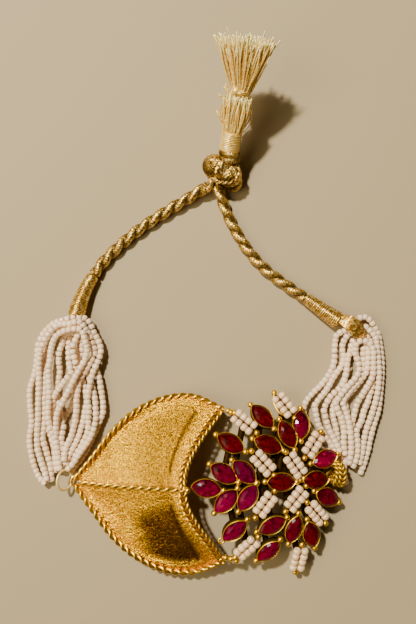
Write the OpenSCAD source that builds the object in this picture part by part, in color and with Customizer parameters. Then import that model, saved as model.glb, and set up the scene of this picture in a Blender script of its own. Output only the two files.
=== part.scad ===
// Adjustable bracelet: a domed ornament of a gold leaf and a ruby rosette, two bundles of
// seed-bead strands, and two twisted cords that meet in a knot with a thread tassel.
// It lies flat as a loop on a surface at z = 0. +X runs along the ornament towards the
// rosette, +Y from the ornament to the tassel.

/* [Ornament] */
// Height of the surface of the dome at its rim
dome_rim = 0.9; // [0.5:0.1:2]
// Rise of the dome in its middle
dome_rise = 8.6; // [6:0.1:10]
// Half length of the dome
dome_a = 31; // [29:0.5:36]
// Half width of the dome
dome_b = 22.5; // [21:0.5:28]

/* [Leaf] */
// Thickness of the leaf's plate
plate_t = 0.8; // [0.6:0.1:1.2]
// Depth of the dish in each half of the leaf
dish_depth = 1.1; // [0:0.1:1.6]
// Width of the flat flange along the leaf's edges
flange_w = 2.0; // [1.5:0.1:3]
// Radius of the rope wire on the leaf's rim
rope_r = 0.68; // [0.5:0.02:0.8]

/* [Rosette] */
// Length of a marquise bezel from tip to tip
bezel_l = 6.6; // [6:0.1:6.8]
// Width of a marquise bezel
bezel_w = 3.7; // [3.2:0.1:3.9]
// Height of a bezel
bezel_h = 1.5; // [1.2:0.1:2]
// Thickness of a bezel's wall
bezel_wall = 0.38; // [0.3:0.02:0.5]
// Radius of the solder balls
ball_r = 0.58; // [0.5:0.02:0.62]
// Diameter of a seed bead in the rosette's panels
panel_bead_d = 1.7; // [1.6:0.02:1.76]
// Pitch of the seed beads in a panel's row
panel_pitch = 1.33; // [1.3:0.01:1.34]

/* [Strands] */
// Diameter of a seed-bead strand
strand_d = 1.46; // [1.3:0.02:1.6]

/* [Cords] */
// Diameter of the twisted cord
cord_d = 2.5; // [2.2:0.1:2.8]
// Diameter of the wrapped end at its bead side
wrap_d = 3.6; // [3:0.1:4]

/* [Hidden] */

function two_digits(i) = i < 10 ? str("0", i) : str(i);
function ruby_name(i) = str("ruby_", two_digits(i));
function panel_name(i) = str("bead_panel_", two_digits(i));

gold = "goldenrod";
zari = "darkkhaki";
pearl = "antiquewhite";
red = "crimson";

// Middle of the ornament on the surface
ornament = [0.6, -35.3];
gap = 0.12;

// Vectors, frames and paths

function unit(v) = v / norm(v);
function mix(a, b, t) = a + (b - a) * t;
function clamp01(t) = min(1, max(0, t));
function ease(t) = clamp01(t) * clamp01(t) * (3 - 2 * clamp01(t));
function spline4(a, b, c, d, t) =
    0.5 * (2 * b + (c - a) * t + (2 * a - 5 * b + 4 * c - d) * t * t
        + (3 * b - a - 3 * c + d) * t * t * t);
// A point of the smooth curve through the points p, at s from 0 to 1
function along(p, s) =
    let (n = len(p) - 1, f = min(s * n, n - 1e-9), i = floor(f))
    spline4(p[max(i - 1, 0)], p[i], p[i + 1], p[min(i + 2, n)], f - i);
function smooth(p, steps) = [for (i = [0:steps]) along(p, i / steps)];
function tangent(p, i) = unit(p[min(i + 1, len(p) - 1)] - p[max(i - 1, 0)]);
function square_to(v, t) = unit(v - (v * t) * t);
function start_side(t) = abs(t[2]) < 0.8 ? square_to([0, 0, 1], t) : square_to([1, 0, 0], t);
// Side vectors carried along the path without twisting
function sides(p, i = 0, v = undef) =
    i >= len(p) ? [] :
    let (t = tangent(p, i), n = is_undef(v) ? start_side(t) : square_to(v, t))
    concat([n], sides(p, i + 1, n));
function radius_at(r, i) = is_list(r) ? r[i] : r;
// A tube along the path p, with a radius or a list of radii, wide across by the flat factor
module tube(p, r, n = 8, flat = 1) {
    v = sides(p);
    m = len(p);
    points = [for (i = [0:m - 1]) let (t = tangent(p, i), w = cross(t, v[i]))
        for (k = [0:n - 1]) let (a = 360 * (k + 0.5) / n)
            p[i] + radius_at(r, i) * (cos(a) * v[i] + flat * sin(a) * w)];
    polyhedron(points, tube_faces(m, n));
}
function tube_faces(m, n) = concat(
    [[for (k = [0:n - 1]) k]],
    [for (i = [0:m - 2]) for (k = [0:n - 1]) let (q = (k + 1) % n)
        [i * n + k, (i + 1) * n + k, (i + 1) * n + q, i * n + q]],
    [[for (k = [n - 1:-1:0]) (m - 1) * n + k]]);
// A closed ring of wire about the centre c, in the plane of the unit vectors a and b
module wire_ring(c, a, b, big, r, steps = 16, n = 6) {
    w = cross(a, b);
    points = [for (i = [0:steps - 1]) let (t = 360 * i / steps, d = cos(t) * a + sin(t) * b)
        for (k = [0:n - 1]) let (q = 360 * (k + 0.5) / n)
            c + big * d + r * (cos(q) * d + sin(q) * w)];
    faces = [for (i = [0:steps - 1]) for (k = [0:n - 1])
        let (j = (i + 1) % steps, q = (k + 1) % n)
            [i * n + k, i * n + q, j * n + q, j * n + k]];
    polyhedron(points, faces);
}
module ball(c, r, n = 6) {
    translate(c) sphere(r, $fn = n);
}
// Joins its children into one closed skin
module joined() {
    resize([0, 0, 0]) union() children();
}

// The dome that the ornament follows, in the ornament's own u and v

function dome_z(u, v) = dome_rim
    + dome_rise * max(0, 1 - pow(u / dome_a, 2)) * max(0, 1 - pow(v / dome_b, 2));
function on_dome(u, v, lift = 0) = [u + ornament[0], v + ornament[1], dome_z(u, v) + lift];
function dome_normal(u, v) = unit([
    2 * u / pow(dome_a, 2) * dome_rise * max(0, 1 - pow(v / dome_b, 2)),
    2 * v / pow(dome_b, 2) * dome_rise * max(0, 1 - pow(u / dome_a, 2)),
    1]);
// Stands the children on the dome at u, v, turned by the angle about the dome's normal
module seat(u, v, turn, lift = 0) {
    z = dome_normal(u, v);
    x = square_to([cos(turn), sin(turn), 0], z);
    y = cross(z, x);
    o = on_dome(u, v) + lift * z;
    multmatrix([[x[0], y[0], z[0], o[0]], [x[1], y[1], z[1], o[1]], [x[2], y[2], z[2], o[2]]])
        children();
}

// Leaf

leaf_tip = [-29, 0];
leaf_notch = [-4.7, 0];
leaf_horn = [3.3, 16.2];
// Outer edge of the upper half from the tip to the horn, as u and v
leaf_outer = [leaf_tip, [-24, 6.1], [-20, 11.3], [-15, 16], [-9, 18.8], [-3, 19], leaf_horn];
// Concave edge of the upper half from the notch to the horn, as u and v
leaf_inner = [leaf_notch, [-4.3, 3.4], [-2.7, 7.2], [0.2, 11.4], leaf_horn];
function up_to(t, p) = [p[0], p[1] * (t < 0 ? -1 : 1)];
// Point of the leaf in plan, s from the tip to the concave edge, t from -1 to 1 across
function leaf_plan(s, t) = let (q = abs(t))
    up_to(t, (1 - q) * mix(leaf_tip, leaf_notch, s) + q * along(leaf_outer, s)
        + s * (along(leaf_inner, q) - (1 - q) * leaf_notch - q * leaf_horn));
// Sink of the plate below the dome, nothing on the flange and full in the dish
function leaf_sink(s, t) = let (q = abs(t))
    dish_depth * ease((1 - s) * 24 / flange_w - 0.7) * ease((1 - q) * 16 / flange_w - 0.4)
        * ease(q * 5) * ease(s * 5);
function leaf_point(s, t, drop) = let (p = leaf_plan(s, t))
    on_dome(p[0], p[1], -leaf_sink(s, t) - drop);
leaf_s = [0.04, 0.14, 0.28, 0.44, 0.6, 0.74, 0.86, 0.93, 1];
leaf_q = [0, 0.12, 0.3, 0.55, 0.8, 0.9, 1];
leaf_t = concat([for (i = [len(leaf_q) - 1:-1:1]) -leaf_q[i]], leaf_q);
module leaf_plate() {
    ns = len(leaf_s);
    nt = len(leaf_t);
    layer = ns * nt;
    points = [for (drop = [0.1, 0.1 + plate_t]) for (s = leaf_s) for (t = leaf_t)
        leaf_point(s, t, drop)];
    top = [for (i = [0:ns - 2]) for (k = [0:nt - 2])
        each two_faces(i * nt + k, (i + 1) * nt + k, (i + 1) * nt + k + 1, i * nt + k + 1)];
    rim = concat([for (k = [0:nt - 1]) k], [for (i = [1:ns - 1]) i * nt + nt - 1],
        [for (k = [nt - 2:-1:0]) (ns - 1) * nt + k], [for (i = [ns - 2:-1:1]) i * nt]);
    wall = [for (i = [0:len(rim) - 1]) let (a = rim[i], b = rim[(i + 1) % len(rim)])
        each two_faces(a, b, b + layer, a + layer)];
    polyhedron(points, concat([for (f = top) [f[2], f[1], f[0]]],
        [for (f = top) f + [layer, layer, layer]],
        [for (f = wall) [f[2], f[1], f[0]]]));
}
function two_faces(a, b, c, d) = [[a, b, c], [a, c, d]];
function leaf_edge(table, steps, lift) =
    [for (p = smooth(table, steps)) on_dome(p[0], p[1], lift)];
rope_sides = 5;
function mirrored(p) = [p[0], 2 * ornament[1] - p[1], p[2]];
module leaf() {
    color(gold) joined() {
        leaf_plate();
        outer = leaf_edge(leaf_outer, 13, 0.05);
        inner = leaf_edge(leaf_inner, 8, 0.15);
        for (edge = [outer, inner]) {
            tube(edge, rope_r, rope_sides);
            tube([for (p = edge) mirrored(p)], rope_r, rope_sides);
        }
        tube([for (s = [0:0.125:1]) let (p = mix(leaf_tip, leaf_notch, s))
            on_dome(p[0], p[1], 0.15)], rope_r * 0.9, rope_sides);
        ball(on_dome(leaf_notch[0] + 0.35, 0, 0.3), 0.65);
        for (v = [-1, 1]) {
            ball(on_dome(leaf_horn[0], v * leaf_horn[1], 0.1), 0.75);
            ball(on_dome(leaf_tip[0] + 0.4, v * 0.5, -0.1), 0.8);
            ball(on_dome(leaf_notch[0] + 0.1, v * 0.7, 0.1), 0.7);
            ball(on_dome(leaf_tip[0] + 1, v * 1.1, 0), 0.7);
        }
        wire_ring(bail_at, [1, 0, 0], [0, 0, 1], bail_r, bail_wire, 12);
    }
}

// Jump ring through the bail at the leaf's tip

bail_at = [-29.1, -35.3, 1.15];
bail_r = 0.85;
bail_wire = 0.3;
jump_ring_at = [-30.35, -35.3, 3.05];
jump_ring_r = 2.25;
jump_ring_wire = 0.24;
jump_ring_tilt = 58;
module jump_ring() {
    color(gold)
        translate(jump_ring_at) rotate([0, jump_ring_tilt, 0])
            rotate_extrude() translate([jump_ring_r, 0]) circle(jump_ring_wire, $fn = 24);
}

// Marquise stones and bezels

// Outline of a marquise l long and w wide, as two arcs of n steps each
function marquise(l, w, n) = let (r = (l * l + w * w) / (4 * w), a = asin(l / 2 / r))
    [for (side = [1, -1]) for (i = [0:n - 1]) let (t = mix(-a, a, i / n))
        [side * r * sin(t), side * (r * cos(t) - r + w / 2)]];
arc_steps = 4;
module bezel() {
    difference() {
        translate([0, 0, -0.5]) linear_extrude(bezel_h)
            polygon(marquise(bezel_l, bezel_w, arc_steps));
        translate([0, 0, 0.1]) linear_extrude(bezel_h)
            polygon(marquise(bezel_l - 2.6 * bezel_wall, bezel_w - 2 * bezel_wall, arc_steps));
    }
}
stone_l = bezel_l - 2.6 * bezel_wall - 3 * gap;
stone_w = bezel_w - 2 * bezel_wall - 1.9 * gap;
// A cut marquise: keel, girdle, crown and table
module cut_stone() {
    rings = [[0.35, 0.22], [1, 0.85], [1, 1.05], [0.62, 1.55]];
    n = 2 * arc_steps;
    points = [for (r = rings) for (p = marquise(stone_l * r[0], stone_w * r[0], arc_steps))
        [p[0], p[1], r[1]]];
    polyhedron(points, [for (f = tube_faces(len(rings), n)) [for (k = [len(f) - 1:-1:0]) f[k]]]);
}
// Stones: u, v and turn of each one
stones = [
    [-0.2, 0.9, -3], [14.8, 1.5, -7], [22.9, 1.4, -6],
    [3.5, 3.3, 148], [3.6, -1.7, -136], [7.6, 3.7, 138], [8.1, -1.7, -124],
    [4.6, 9.5, 149], [5.5, -8.0, -138], [12.7, 9.5, -18], [13.1, -7.1, 20],
    [11.4, 14.8, 134], [12.6, -13.2, -131], [16.3, 11.7, 110], [17.8, -9.3, -97],
    [19.5, 13.1, 85], [22.1, -10.5, -70], [24.8, 5.9, 8], [25.3, -2.4, -22]];
module ruby(i) {
    s = stones[i - 1];
    color(red) seat(s[0], s[1], s[2]) cut_stone();
}

// Panels of seed beads: u and v of the middle, turn of the rows, of two rows of four beads
panels = [
    [7.2, 13.6, -42], [8.0, -12.6, -131], [11.0, 5.7, -47], [11.8, -2.9, -127],
    [17.9, 4.7, -54], [18.4, -2.2, -134], [15.8, 17.5, -56], [19.1, -16.0, -97],
    [21.9, 9.3, -129], [22.9, -5.4, -46]];
panel_beads = 4;
panel_l = panel_beads * panel_pitch;
row_gap = 1.96;
module bead_panel(i) {
    p = panels[i - 1];
    color(pearl) seat(p[0], p[1], p[2], 0.75)
        for (side = [-1, 1])
            translate([0, side * row_gap / 2, 0]) rotate([0, 90, 0])
                cylinder(d = panel_bead_d, h = panel_l, center = true, $fn = 24);
}

// Solder balls: one at each free tip of a bezel, at each end of a panel, and one by the leaf
bezel_reach = bezel_l / 2 + 0.3;
panel_reach = panel_l / 2 + ball_r + 0.1;
ball_lift = 0.35;
leaf_side_ball = [5.0, -14.9];

// Wires at the back: a spine under the middle, and one from it to each bezel and panel
wire_drop = 0.72;
wire_r = 0.5;
row_wire_drop = 0.35;
row_wire_r = 0.42;
function spine_v(u) = 0.7 + 0.03 * u;
module back_wire(a, b) {
    tube([for (p = [a, b]) on_dome(p[0], p[1], -wire_drop)], wire_r, 4);
}
// The rope ring behind the rosette's end, which leans out at the top
rope_ring_at = [28.3, -33.0, 3.75];
rope_ring_r = 3.0;
rope_ring_wire = 0.5;
rope_ring_lean = 18;
rope_ring_up = [sin(rope_ring_lean), 0, cos(rope_ring_lean)];
module rosette_frame() {
    color(gold) joined() {
        for (s = stones) seat(s[0], s[1], s[2]) {
            bezel();
            ball([bezel_reach, 0, ball_lift], ball_r);
            if (s != stones[0]) ball([-bezel_reach, 0, ball_lift], ball_r);
        }
        for (p = panels) seat(p[0], p[1], p[2]) {
            for (d = [-1, 1]) ball([d * panel_reach, 0, ball_lift], ball_r);
            tube([for (d = [-1, 1]) [d * panel_reach, 0, -row_wire_drop]], row_wire_r, 4);
        }
        ball(on_dome(leaf_side_ball[0], leaf_side_ball[1], ball_lift), ball_r);
        tube([for (u = [1:4:25]) on_dome(u, spine_v(u), -wire_drop)], wire_r, 6);
        for (s = concat(stones, panels))
            if (abs(s[1] - spine_v(s[0])) > 1.2)
                back_wire([s[0] - 0.2 * abs(s[1]), spine_v(s[0])], [s[0], s[1]]);
        back_wire([25, spine_v(25)], [27.2, 2.4]);
        wire_ring(rope_ring_at, [0, 1, 0], rope_ring_up, rope_ring_r, rope_ring_wire, 18, 5);
    }
}

// Strands of seed beads: closed loops, nested in each other, hung on a thread loop at the top

strand_r = strand_d / 2;
strand_sides = 7;
strand_low = strand_r + 0.01;
strand_gap = 0.3;
loops = 5;
// Rows of a bundle: y, x of its first and last strand, width of its middle gap
left_rows = [
    [-6.5, -34.5, -22.2, 2.9], [-9.1, -35.5, -22.0, 2.6], [-14.5, -36.9, -21.8, 2.2],
    [-19.9, -37.4, -22.4, 2.2], [-25.2, -37.5, -24.3, 1.9], [-28.4, -37.4, -26.2, 1.8],
    [-31.0, -36.9, -28.1, 1.75]];
right_rows = [
    [-6.5, 27.3, 37.3, 2.9], [-9.1, 26.8, 37.2, 2.6], [-12.5, 25.7, 37.3, 2.2],
    [-15.5, 24.2, 37.5, 2.2], [-18.4, 23.1, 37.4, 2.2], [-20.4, 23.1, 36.9, 2.0],
    [-22.6, 24.2, 36.4, 2.0], [-25.0, 25.5, 35.9, 2.0]];
// How far from its row's outer strand each loop lies, in either leg, counted from outside
function strand_pitch(row) = (row[2] - row[1] - row[3]) / (2 * loops - 2);
function layer_rise(pitch) = sqrt(max(0, pow(strand_d + strand_gap, 2) - pow(pitch, 2)));
function layer(i) = i % 2;
// Point of loop i in its left leg (side -1) or its right leg (side 1), at a row
function leg_point(row, i, side) = let (d = strand_pitch(row))
    [side < 0 ? row[1] + i * d : row[2] - i * d, row[0],
     strand_low + layer(i) * layer_rise(d)];
// Bend of loop i at the top: a half ellipse from leg to leg that rises to the thread loop
top_y = -0.7;
top_pitch = 0.92;
pass_z = [2.0, 3.6];
function bend_point(row, i, pass_x, q) = let (a = leg_point(row, i, -1), b = leg_point(row, i, 1),
    rise = top_y - i * top_pitch - row[0], mid = (a[0] + b[0]) / 2)
    [mid - cos(q) * (b[0] - a[0]) / 2 + (pass_x - (row[1] + row[2]) / 2) * pow(sin(q), 2),
     row[0] + rise * sin(q), mix(a[2], pass_z[layer(i)], pow(sin(q), 2 - layer(i)))];
function loop_path(rows, i, pass_x) = concat(
    [for (k = [len(rows) - 1:-1:0]) leg_point(rows[k], i, -1)],
    [for (q = [22:22.6:158]) bend_point(rows[0], i, pass_x, q)],
    [for (row = rows) leg_point(row, i, 1)]);
// The wad of thread that ends a bundle, and the eye of thread through its ring
eye_thread = 0.3;
module thread_end(corners, eye_at, eye_normal, eye_r) {
    n = unit(eye_normal);
    a = square_to([1, 0, 0], n);
    joined() {
        hull() for (c = corners) ball([c[0], c[1], c[2]], c[3], 10);
        wire_ring(eye_at, a, cross(n, a), eye_r, eye_thread, 12);
    }
}
module bead_strands(rows, pass_x) {
    for (i = [0:loops - 1]) tube(loop_path(rows, i, pass_x), strand_r, strand_sides);
}
// Corners of the wads: x, y, z, radius
left_wad = [[-35.3, -32.4, 1.2, 1.15], [-30.4, -32.1, 1.2, 0.95], [-33.0, -35.0, 2.7, 1.3]];
right_wad = [[28.0, -26.3, 0.9, 0.85], [34.0, -26.5, 1.1, 1.0], [30.9, -32.4, 1.35, 1.2]];
left_pass = -28.0;
right_pass = 32.6;
module left_bead_strands() {
    color(pearl) {
        bead_strands(left_rows, left_pass);
        thread_end(left_wad, [-31.8, -35.3, 4.7], [0, 1, 0], 1.1);
    }
}
module right_bead_strands() {
    color(pearl) {
        bead_strands(right_rows, right_pass);
        thread_end(right_wad, [28.05, -30.75, 1.8], [0.24, 0.64, 0.73], 1.4);
    }
}

// Cords, from the wrapped ends to the knot: x, y, z

cord_r = cord_d / 2;
left_cord_route = [
    [-23.9, 9.35, 1.33], [-22.7, 11.1, 1.25], [-21.3, 12.8, 1.2], [-19.9, 14.2, 1.2],
    [-18.4, 15.6, 1.2], [-16.8, 17.0, 1.2], [-15.1, 18.4, 1.2], [-13.3, 19.7, 1.2],
    [-11.4, 21.0, 1.2], [-9.5, 22.2, 1.2], [-7.6, 23.4, 1.25], [-5.7, 24.5, 1.35],
    [-3.8, 25.6, 1.55], [-1.9, 26.75, 1.9], [0.0, 27.8, 2.28]];
right_cord_route = [
    [2.95, 27.2, 2.28], [3.6, 25.2, 1.8], [4.3, 23.4, 1.5], [5.0, 21.8, 1.3],
    [5.7, 20.2, 1.2], [6.6, 18.6, 1.2], [7.6, 17.0, 1.2], [8.7, 15.3, 1.2],
    [9.9, 13.7, 1.2], [11.3, 12.1, 1.2], [12.8, 10.6, 1.2], [14.5, 9.2, 1.2],
    [16.4, 7.8, 1.2], [18.7, 6.15, 1.25], [21.35, 4.36, 1.33]];
module left_cord() {
    color(zari) tube(left_cord_route, cord_r, 8);
}
module right_cord() {
    color(zari) tube(right_cord_route, cord_r, 8);
}

// Wrapped ends, tapered from the beads to the cord, with a loop of thread through the beads

thread_r = 0.38;
module wrapped_end(path, turns) {
    n = len(path) - 1;
    joined() {
        tube(path, [for (i = [0:n]) mix(wrap_d / 2, cord_r + 0.15, pow(i / n, 1.3))], 12);
        tube(smooth(turns, 16), thread_r, 6);
    }
}
// A loop of thread about the strands, from and to the end of the wrap: y and z
thread_yz = [[0.3, 4.1], [-0.9, 4.9], [-3.3, 4.9], [-5.2, 4.1], [-6.0, 2.5], [-5.7, 0.6],
    [-2.8, 0.42], [-0.6, 0.45], [0.3, 0.6]];
// It crosses the strands in the plane through x, which slants towards the loops' inside
function thread_turns(x, slant, end) = concat([end + [0, 0, 0.9]],
    [for (p = thread_yz) [x - slant * p[0], p[0], p[1]]], [end - [0, 0, 0.9]]);
left_wrap_path = [[-27.5, 1.1, 1.87], [-27.1, 2.6, 1.8], [-26.3, 4.8, 1.72], [-25.4, 6.8, 1.57],
    [-24.0, 9.2, 1.38]];
right_wrap_path = [[28.7, -0.1, 1.92], [27.2, 0.4, 1.84], [25.4, 1.5, 1.72], [23.5, 2.85, 1.57],
    [21.5, 4.25, 1.38]];
module left_wrap() {
    color(zari) wrapped_end(left_wrap_path, thread_turns(-27.6, -0.12, left_wrap_path[0]));
}
module right_wrap() {
    color(zari) wrapped_end(right_wrap_path, thread_turns(30.65, 0.33, right_wrap_path[0]));
}

// Knot and tassel

// Turns of the knot: x, y, z of the middle, the turn's radius, its cord's radius, its normal
knot_turns = [
    [2.6, 31.9, 4.1, 2.5, 1.45, [-0.5, 0.7, 0.35]],
    [4.9, 30.9, 4.2, 2.5, 1.45, [0.45, 0.8, 0.25]],
    [4.9, 34.2, 5.6, 1.7, 0.9, [0.15, 0.8, 0.5]]];
knot_core = [3.8, 31.5, 4.2];
// The end of a cord inside the knot, face to face with the cord that ends at a and comes from b
module cord_stub(a, b) {
    t = unit(a - b);
    tube([a + gap * t, a + 1.2 * t, knot_core], cord_r, 8);
}
module knot() {
    color(zari) joined() {
        for (t = knot_turns) {
            n = unit(t[5]);
            a = square_to([0, 0, 1], n);
            wire_ring([t[0], t[1], t[2]], a, cross(n, a), t[3], t[4], 12, 7);
        }
        ball(knot_core, 2.6, 10);
        cord_stub(left_cord_route[14], left_cord_route[13]);
        cord_stub(right_cord_route[0], right_cord_route[1]);
    }
}
// Line of the tassel from the knot, with its radius: x, y, z, radius
tassel_line = [[5.1, 35.15, 6.2, 2.0], [5.3, 36.6, 7.15, 2.3], [5.6, 38.3, 8.2, 2.5],
    [6.4, 41.4, 10.0, 2.3], [7.1, 43.9, 11.5, 1.7], [7.3, 44.8, 12.0, 1.9],
    [7.7, 48.2, 13.7, 2.8], [8.0, 52.0, 15.7, 4.2]];
module tassel() {
    line = [for (p = tassel_line) [p[0], p[1], p[2]]];
    color(zari) joined() {
        tube(line, [for (p = tassel_line) p[3]], 10);
        locks(line[5], [8.1, 53.2, 16.2], 1.2, 5.7, 0.75, 1.05, 12);
        locks(line[4], line[2] - [0.1, 0.7, 0.4], 1.6, 2.6, 0.65, 0.9, 9);
    }
}
// Locks of thread that spread about a line from a to b, less upwards than sideways
lock_flat = 0.7;
module locks(a, b, spread_a, spread_b, r_a, r_b, count) {
    t = unit(b - a);
    x = start_side(t);
    y = cross(t, x);
    for (i = [0:count - 1]) {
        q = 360 * i / count;
        d = lock_flat * cos(q) * x + sin(q) * y;
        reach = i % 3 == 0 ? 0.93 : 1;
        tube([a + spread_a * d, mix(a, b, 0.5) + mix(spread_a, spread_b, 0.42) * d,
            mix(a, b, reach) + spread_b * d], [r_a, mix(r_a, r_b, 0.6), r_b], 4);
    }
}

leaf();
rosette_frame();
for (i = [1:len(stones)]) ruby(i);
for (i = [1:len(panels)]) bead_panel(i);
jump_ring();
left_bead_strands();
right_bead_strands();
left_wrap();
right_wrap();
left_cord();
right_cord();
knot();
tassel();
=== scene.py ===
import bpy
import numpy as np
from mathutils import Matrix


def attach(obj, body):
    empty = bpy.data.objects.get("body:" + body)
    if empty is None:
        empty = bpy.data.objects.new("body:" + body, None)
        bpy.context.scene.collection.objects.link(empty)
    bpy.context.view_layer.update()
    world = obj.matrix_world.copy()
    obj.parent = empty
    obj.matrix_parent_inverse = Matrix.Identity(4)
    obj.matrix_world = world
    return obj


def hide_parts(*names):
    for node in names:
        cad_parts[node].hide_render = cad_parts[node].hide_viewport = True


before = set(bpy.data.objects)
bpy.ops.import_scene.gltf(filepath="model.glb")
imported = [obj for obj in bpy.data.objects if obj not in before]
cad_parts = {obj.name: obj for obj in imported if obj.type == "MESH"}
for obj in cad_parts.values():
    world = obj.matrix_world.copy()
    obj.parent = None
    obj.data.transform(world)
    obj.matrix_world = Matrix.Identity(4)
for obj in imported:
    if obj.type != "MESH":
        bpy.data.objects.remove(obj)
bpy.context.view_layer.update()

bl_info = {
    "name": "Ruby Bracelet",
    "version": (1, 0, 0),
    "blender": (4, 5, 0),
    "location": "3D View > Sidebar > Bracelet",
    "description": "Builds an adjustable bracelet with a gold leaf, a ruby rosette and seed-bead strands",
    "category": "Add Mesh",
}

MM = 0.001
# Camera over the bracelet: place in millimetres, sensor and lens, and how far its picture is shifted up
CAMERA = {"place": (0.6, -2.7, 148), "sensor": 36.0, "lens": 39.23, "shift": 0.0288}
# Lights: place and size in metres, and colour. The soft box's power is in watts, and the key's is a setting.
KEY_LIGHT = ((-0.21, 0.285, 0.55), 0.045, (1.0, 0.93, 0.8))
SOFT_BOX = ((-0.42, -0.09, 0.48), 0.5, (1.0, 0.84, 0.54))
SOFT_BOX_POWER = 2.7
SKY_COLOUR = (1.0, 0.75, 0.4, 1)
# Half the side of the floor, in metres
FLOOR_REACH = 1.5

# Places, in millimetres: the CAD's, and some of them shifted a little

ORNAMENT = (0.6, -35.3)
DOME = {"rim": 0.9, "rise": 8.6, "half_length": 31.0, "half_width": 22.5}
LEAF_TIP = (-29.0, 0.0)
LEAF_NOTCH = (-5.2, 0.0)
LEAF_PLATE = 0.7
# Edges of the leaf's upper and lower half, by the sign of v: from its tip to its horn, and from
# the notch in its mouth to the horn
LEAF_OUTER = {1: [LEAF_TIP, (-24, 6.1), (-20, 11.3), (-14.9, 15.7), (-9, 18.2), (-3, 18.5), (2.7, 16.1)],
              -1: [LEAF_TIP, (-24, 6), (-20, 11), (-15, 15.4), (-9, 18.4), (-3, 18.7), (2.9, 15.9)]}
LEAF_MOUTH = {1: [LEAF_NOTCH, (-5, 3.4), (-3.6, 7.2), (-1, 11.4), (2.7, 16.1)],
              -1: [LEAF_NOTCH, (-4.7, 3.4), (-2.8, 7.2), (0.1, 11.4), (2.9, 15.9)]}
# Eye of wire at the tip, and the jump ring in it: middle, radius, radius of the wire, and its axis
EYE = ((-27.85, -35.2, 1.45), 1.05, 0.3, (0.2, 0.1, 0.97))
JUMP_RING = ((-29.95, -34.7, 3.05), 2.1, 0.27, (0.8, 0.0, 0.6))
# Stones: u, v and turn on the dome, how bright its facets' painted light is, and how pink
STONES = [
    (-0.3, 0.5, -8, 0.35, 0.5), (14.9, 1.3, -3, 0.3, 0.0), (22.3, 1.2, -4, 0.25, 0.0),
    (3.2, 3.4, 148, 0.3, 0.5), (3.6, -2.1, -133, 0.5, 0.8), (7.3, 3.6, 136, 0.2, 0.9),
    (8.0, -1.5, -124, 0.45, 1.0), (4.6, 9.2, 149, 0.25, 0.1), (5.4, -8.3, -137, 0.44, 0.7),
    (12.3, 8.8, -20, 0.25, 0.0), (13.1, -7.5, 22, 0.35, 0.4), (11.3, 14.3, 130, 0.25, 0.1),
    (12.5, -13.2, -133, 0.4, 0.5), (16.4, 10.7, 114, 0.25, 0.0), (17.7, -8.7, -105, 0.35, 0.3),
    (19.4, 12.6, 85, 0.35, 0.5), (21.5, -10.2, -70, 0.3, 0.1), (24.4, 5.4, 14, 0.68, 0.5),
    (24.9, -2.6, -24, 0.3, 0.3)]
# Ends of stones that have no ball, by the stone's place in the table: one is bare, one has an eye
BARE_ENDS = {0: -1, 8: 1}
EYED_STONE = 8
# Panels of beads: u, v and turn on the dome
PANELS = [
    (7.4, 13.2, -42), (8.0, -12.3, -131), (11.15, 5.2, -47), (11.6, -3.1, -127), (17.9, 4.5, -54),
    (18.1, -2.4, -134), (16.1, 16.5, -56), (19.1, -15.6, -97), (21.9, 8.4, -129), (22.6, -5.8, -46)]
# The panel that has a bare wire along its side
WIRED_PANEL = 6
# Balls that join the leaf's horns to the rosette: u and v
HORN_BALLS = [(4.2, 15.7), (5.5, 15.3), (3.7, -14.9), (4.8, -15.2), (6.0, -15.7)]
# Rope ring: middle of its first coil, lean in degrees, its rope's radius and lay, and each coil's place along
# the axis and radius
ROPE_RING = {"at": (28.5, -33.2, 3.1), "lean": 18.0, "rope": 0.56, "lay": 2.0,
             "coils": [(0.0, 2.45), (-0.8, 2.35), (-1.5, 2.1)]}
# Middle lines of the cords and of their wrapped ends
LEFT_CORD = [
    (-23.9, 9.35, 1.33), (-22.7, 11.1, 1.25), (-21.3, 12.8, 1.2), (-19.9, 14.2, 1.2),
    (-18.4, 15.6, 1.2), (-16.8, 17.0, 1.2), (-15.1, 18.4, 1.2), (-13.3, 19.7, 1.2),
    (-11.4, 21.0, 1.2), (-9.5, 22.2, 1.2), (-7.6, 23.4, 1.25), (-5.7, 24.5, 1.35),
    (-3.8, 25.6, 1.55), (-1.9, 26.75, 1.9), (0.0, 27.8, 2.28)]
RIGHT_CORD = [
    (2.95, 27.2, 2.28), (3.6, 25.2, 1.8), (4.3, 23.4, 1.5), (5.0, 21.8, 1.3),
    (5.7, 20.2, 1.2), (6.6, 18.6, 1.2), (7.6, 17.0, 1.2), (8.7, 15.3, 1.2),
    (9.9, 13.7, 1.2), (11.3, 12.1, 1.2), (12.8, 10.6, 1.2), (14.5, 9.2, 1.2),
    (16.4, 7.8, 1.2), (18.7, 6.15, 1.25), (21.35, 4.36, 1.33)]
LEFT_WRAP = [(-27.9, -0.1, 1.95), (-27.2, 2.3, 1.83), (-26.3, 4.8, 1.72), (-25.4, 6.8, 1.57),
             (-24.0, 9.2, 1.38)]
RIGHT_WRAP = [(29.0, -0.9, 1.94), (27.3, 0.15, 1.85), (25.4, 1.45, 1.72), (23.5, 2.85, 1.57),
              (21.5, 4.25, 1.38)]
# Threads that hold the strands to the wrapped ends: the middle one's points, and the way that each
# point moves for the others
EYE_THREADS = {
    "left": ([(-27.4, 1.0, 1.9), (-27.9, -1.2, 2.0), (-28.8, -3.6, 1.6), (-28.6, -5.0, 0.8)],
             [(0, 0, 0), (-0.5, 0, -1), (1, -0.3, 0), (1, 0, 0)]),
    "right": ([(28.7, -0.2, 3.0), (30.6, -1.2, 4.1), (32.6, -3.0, 3.9), (33.9, -4.6, 2.6), (33.9, -4.9, 1.2)],
              [(0.4, 0.6, 0), (0.6, 1.1, 0.2), (0.7, 1.2, 0), (0.3, 0.6, 0), (0, 0, 0)])}
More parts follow.
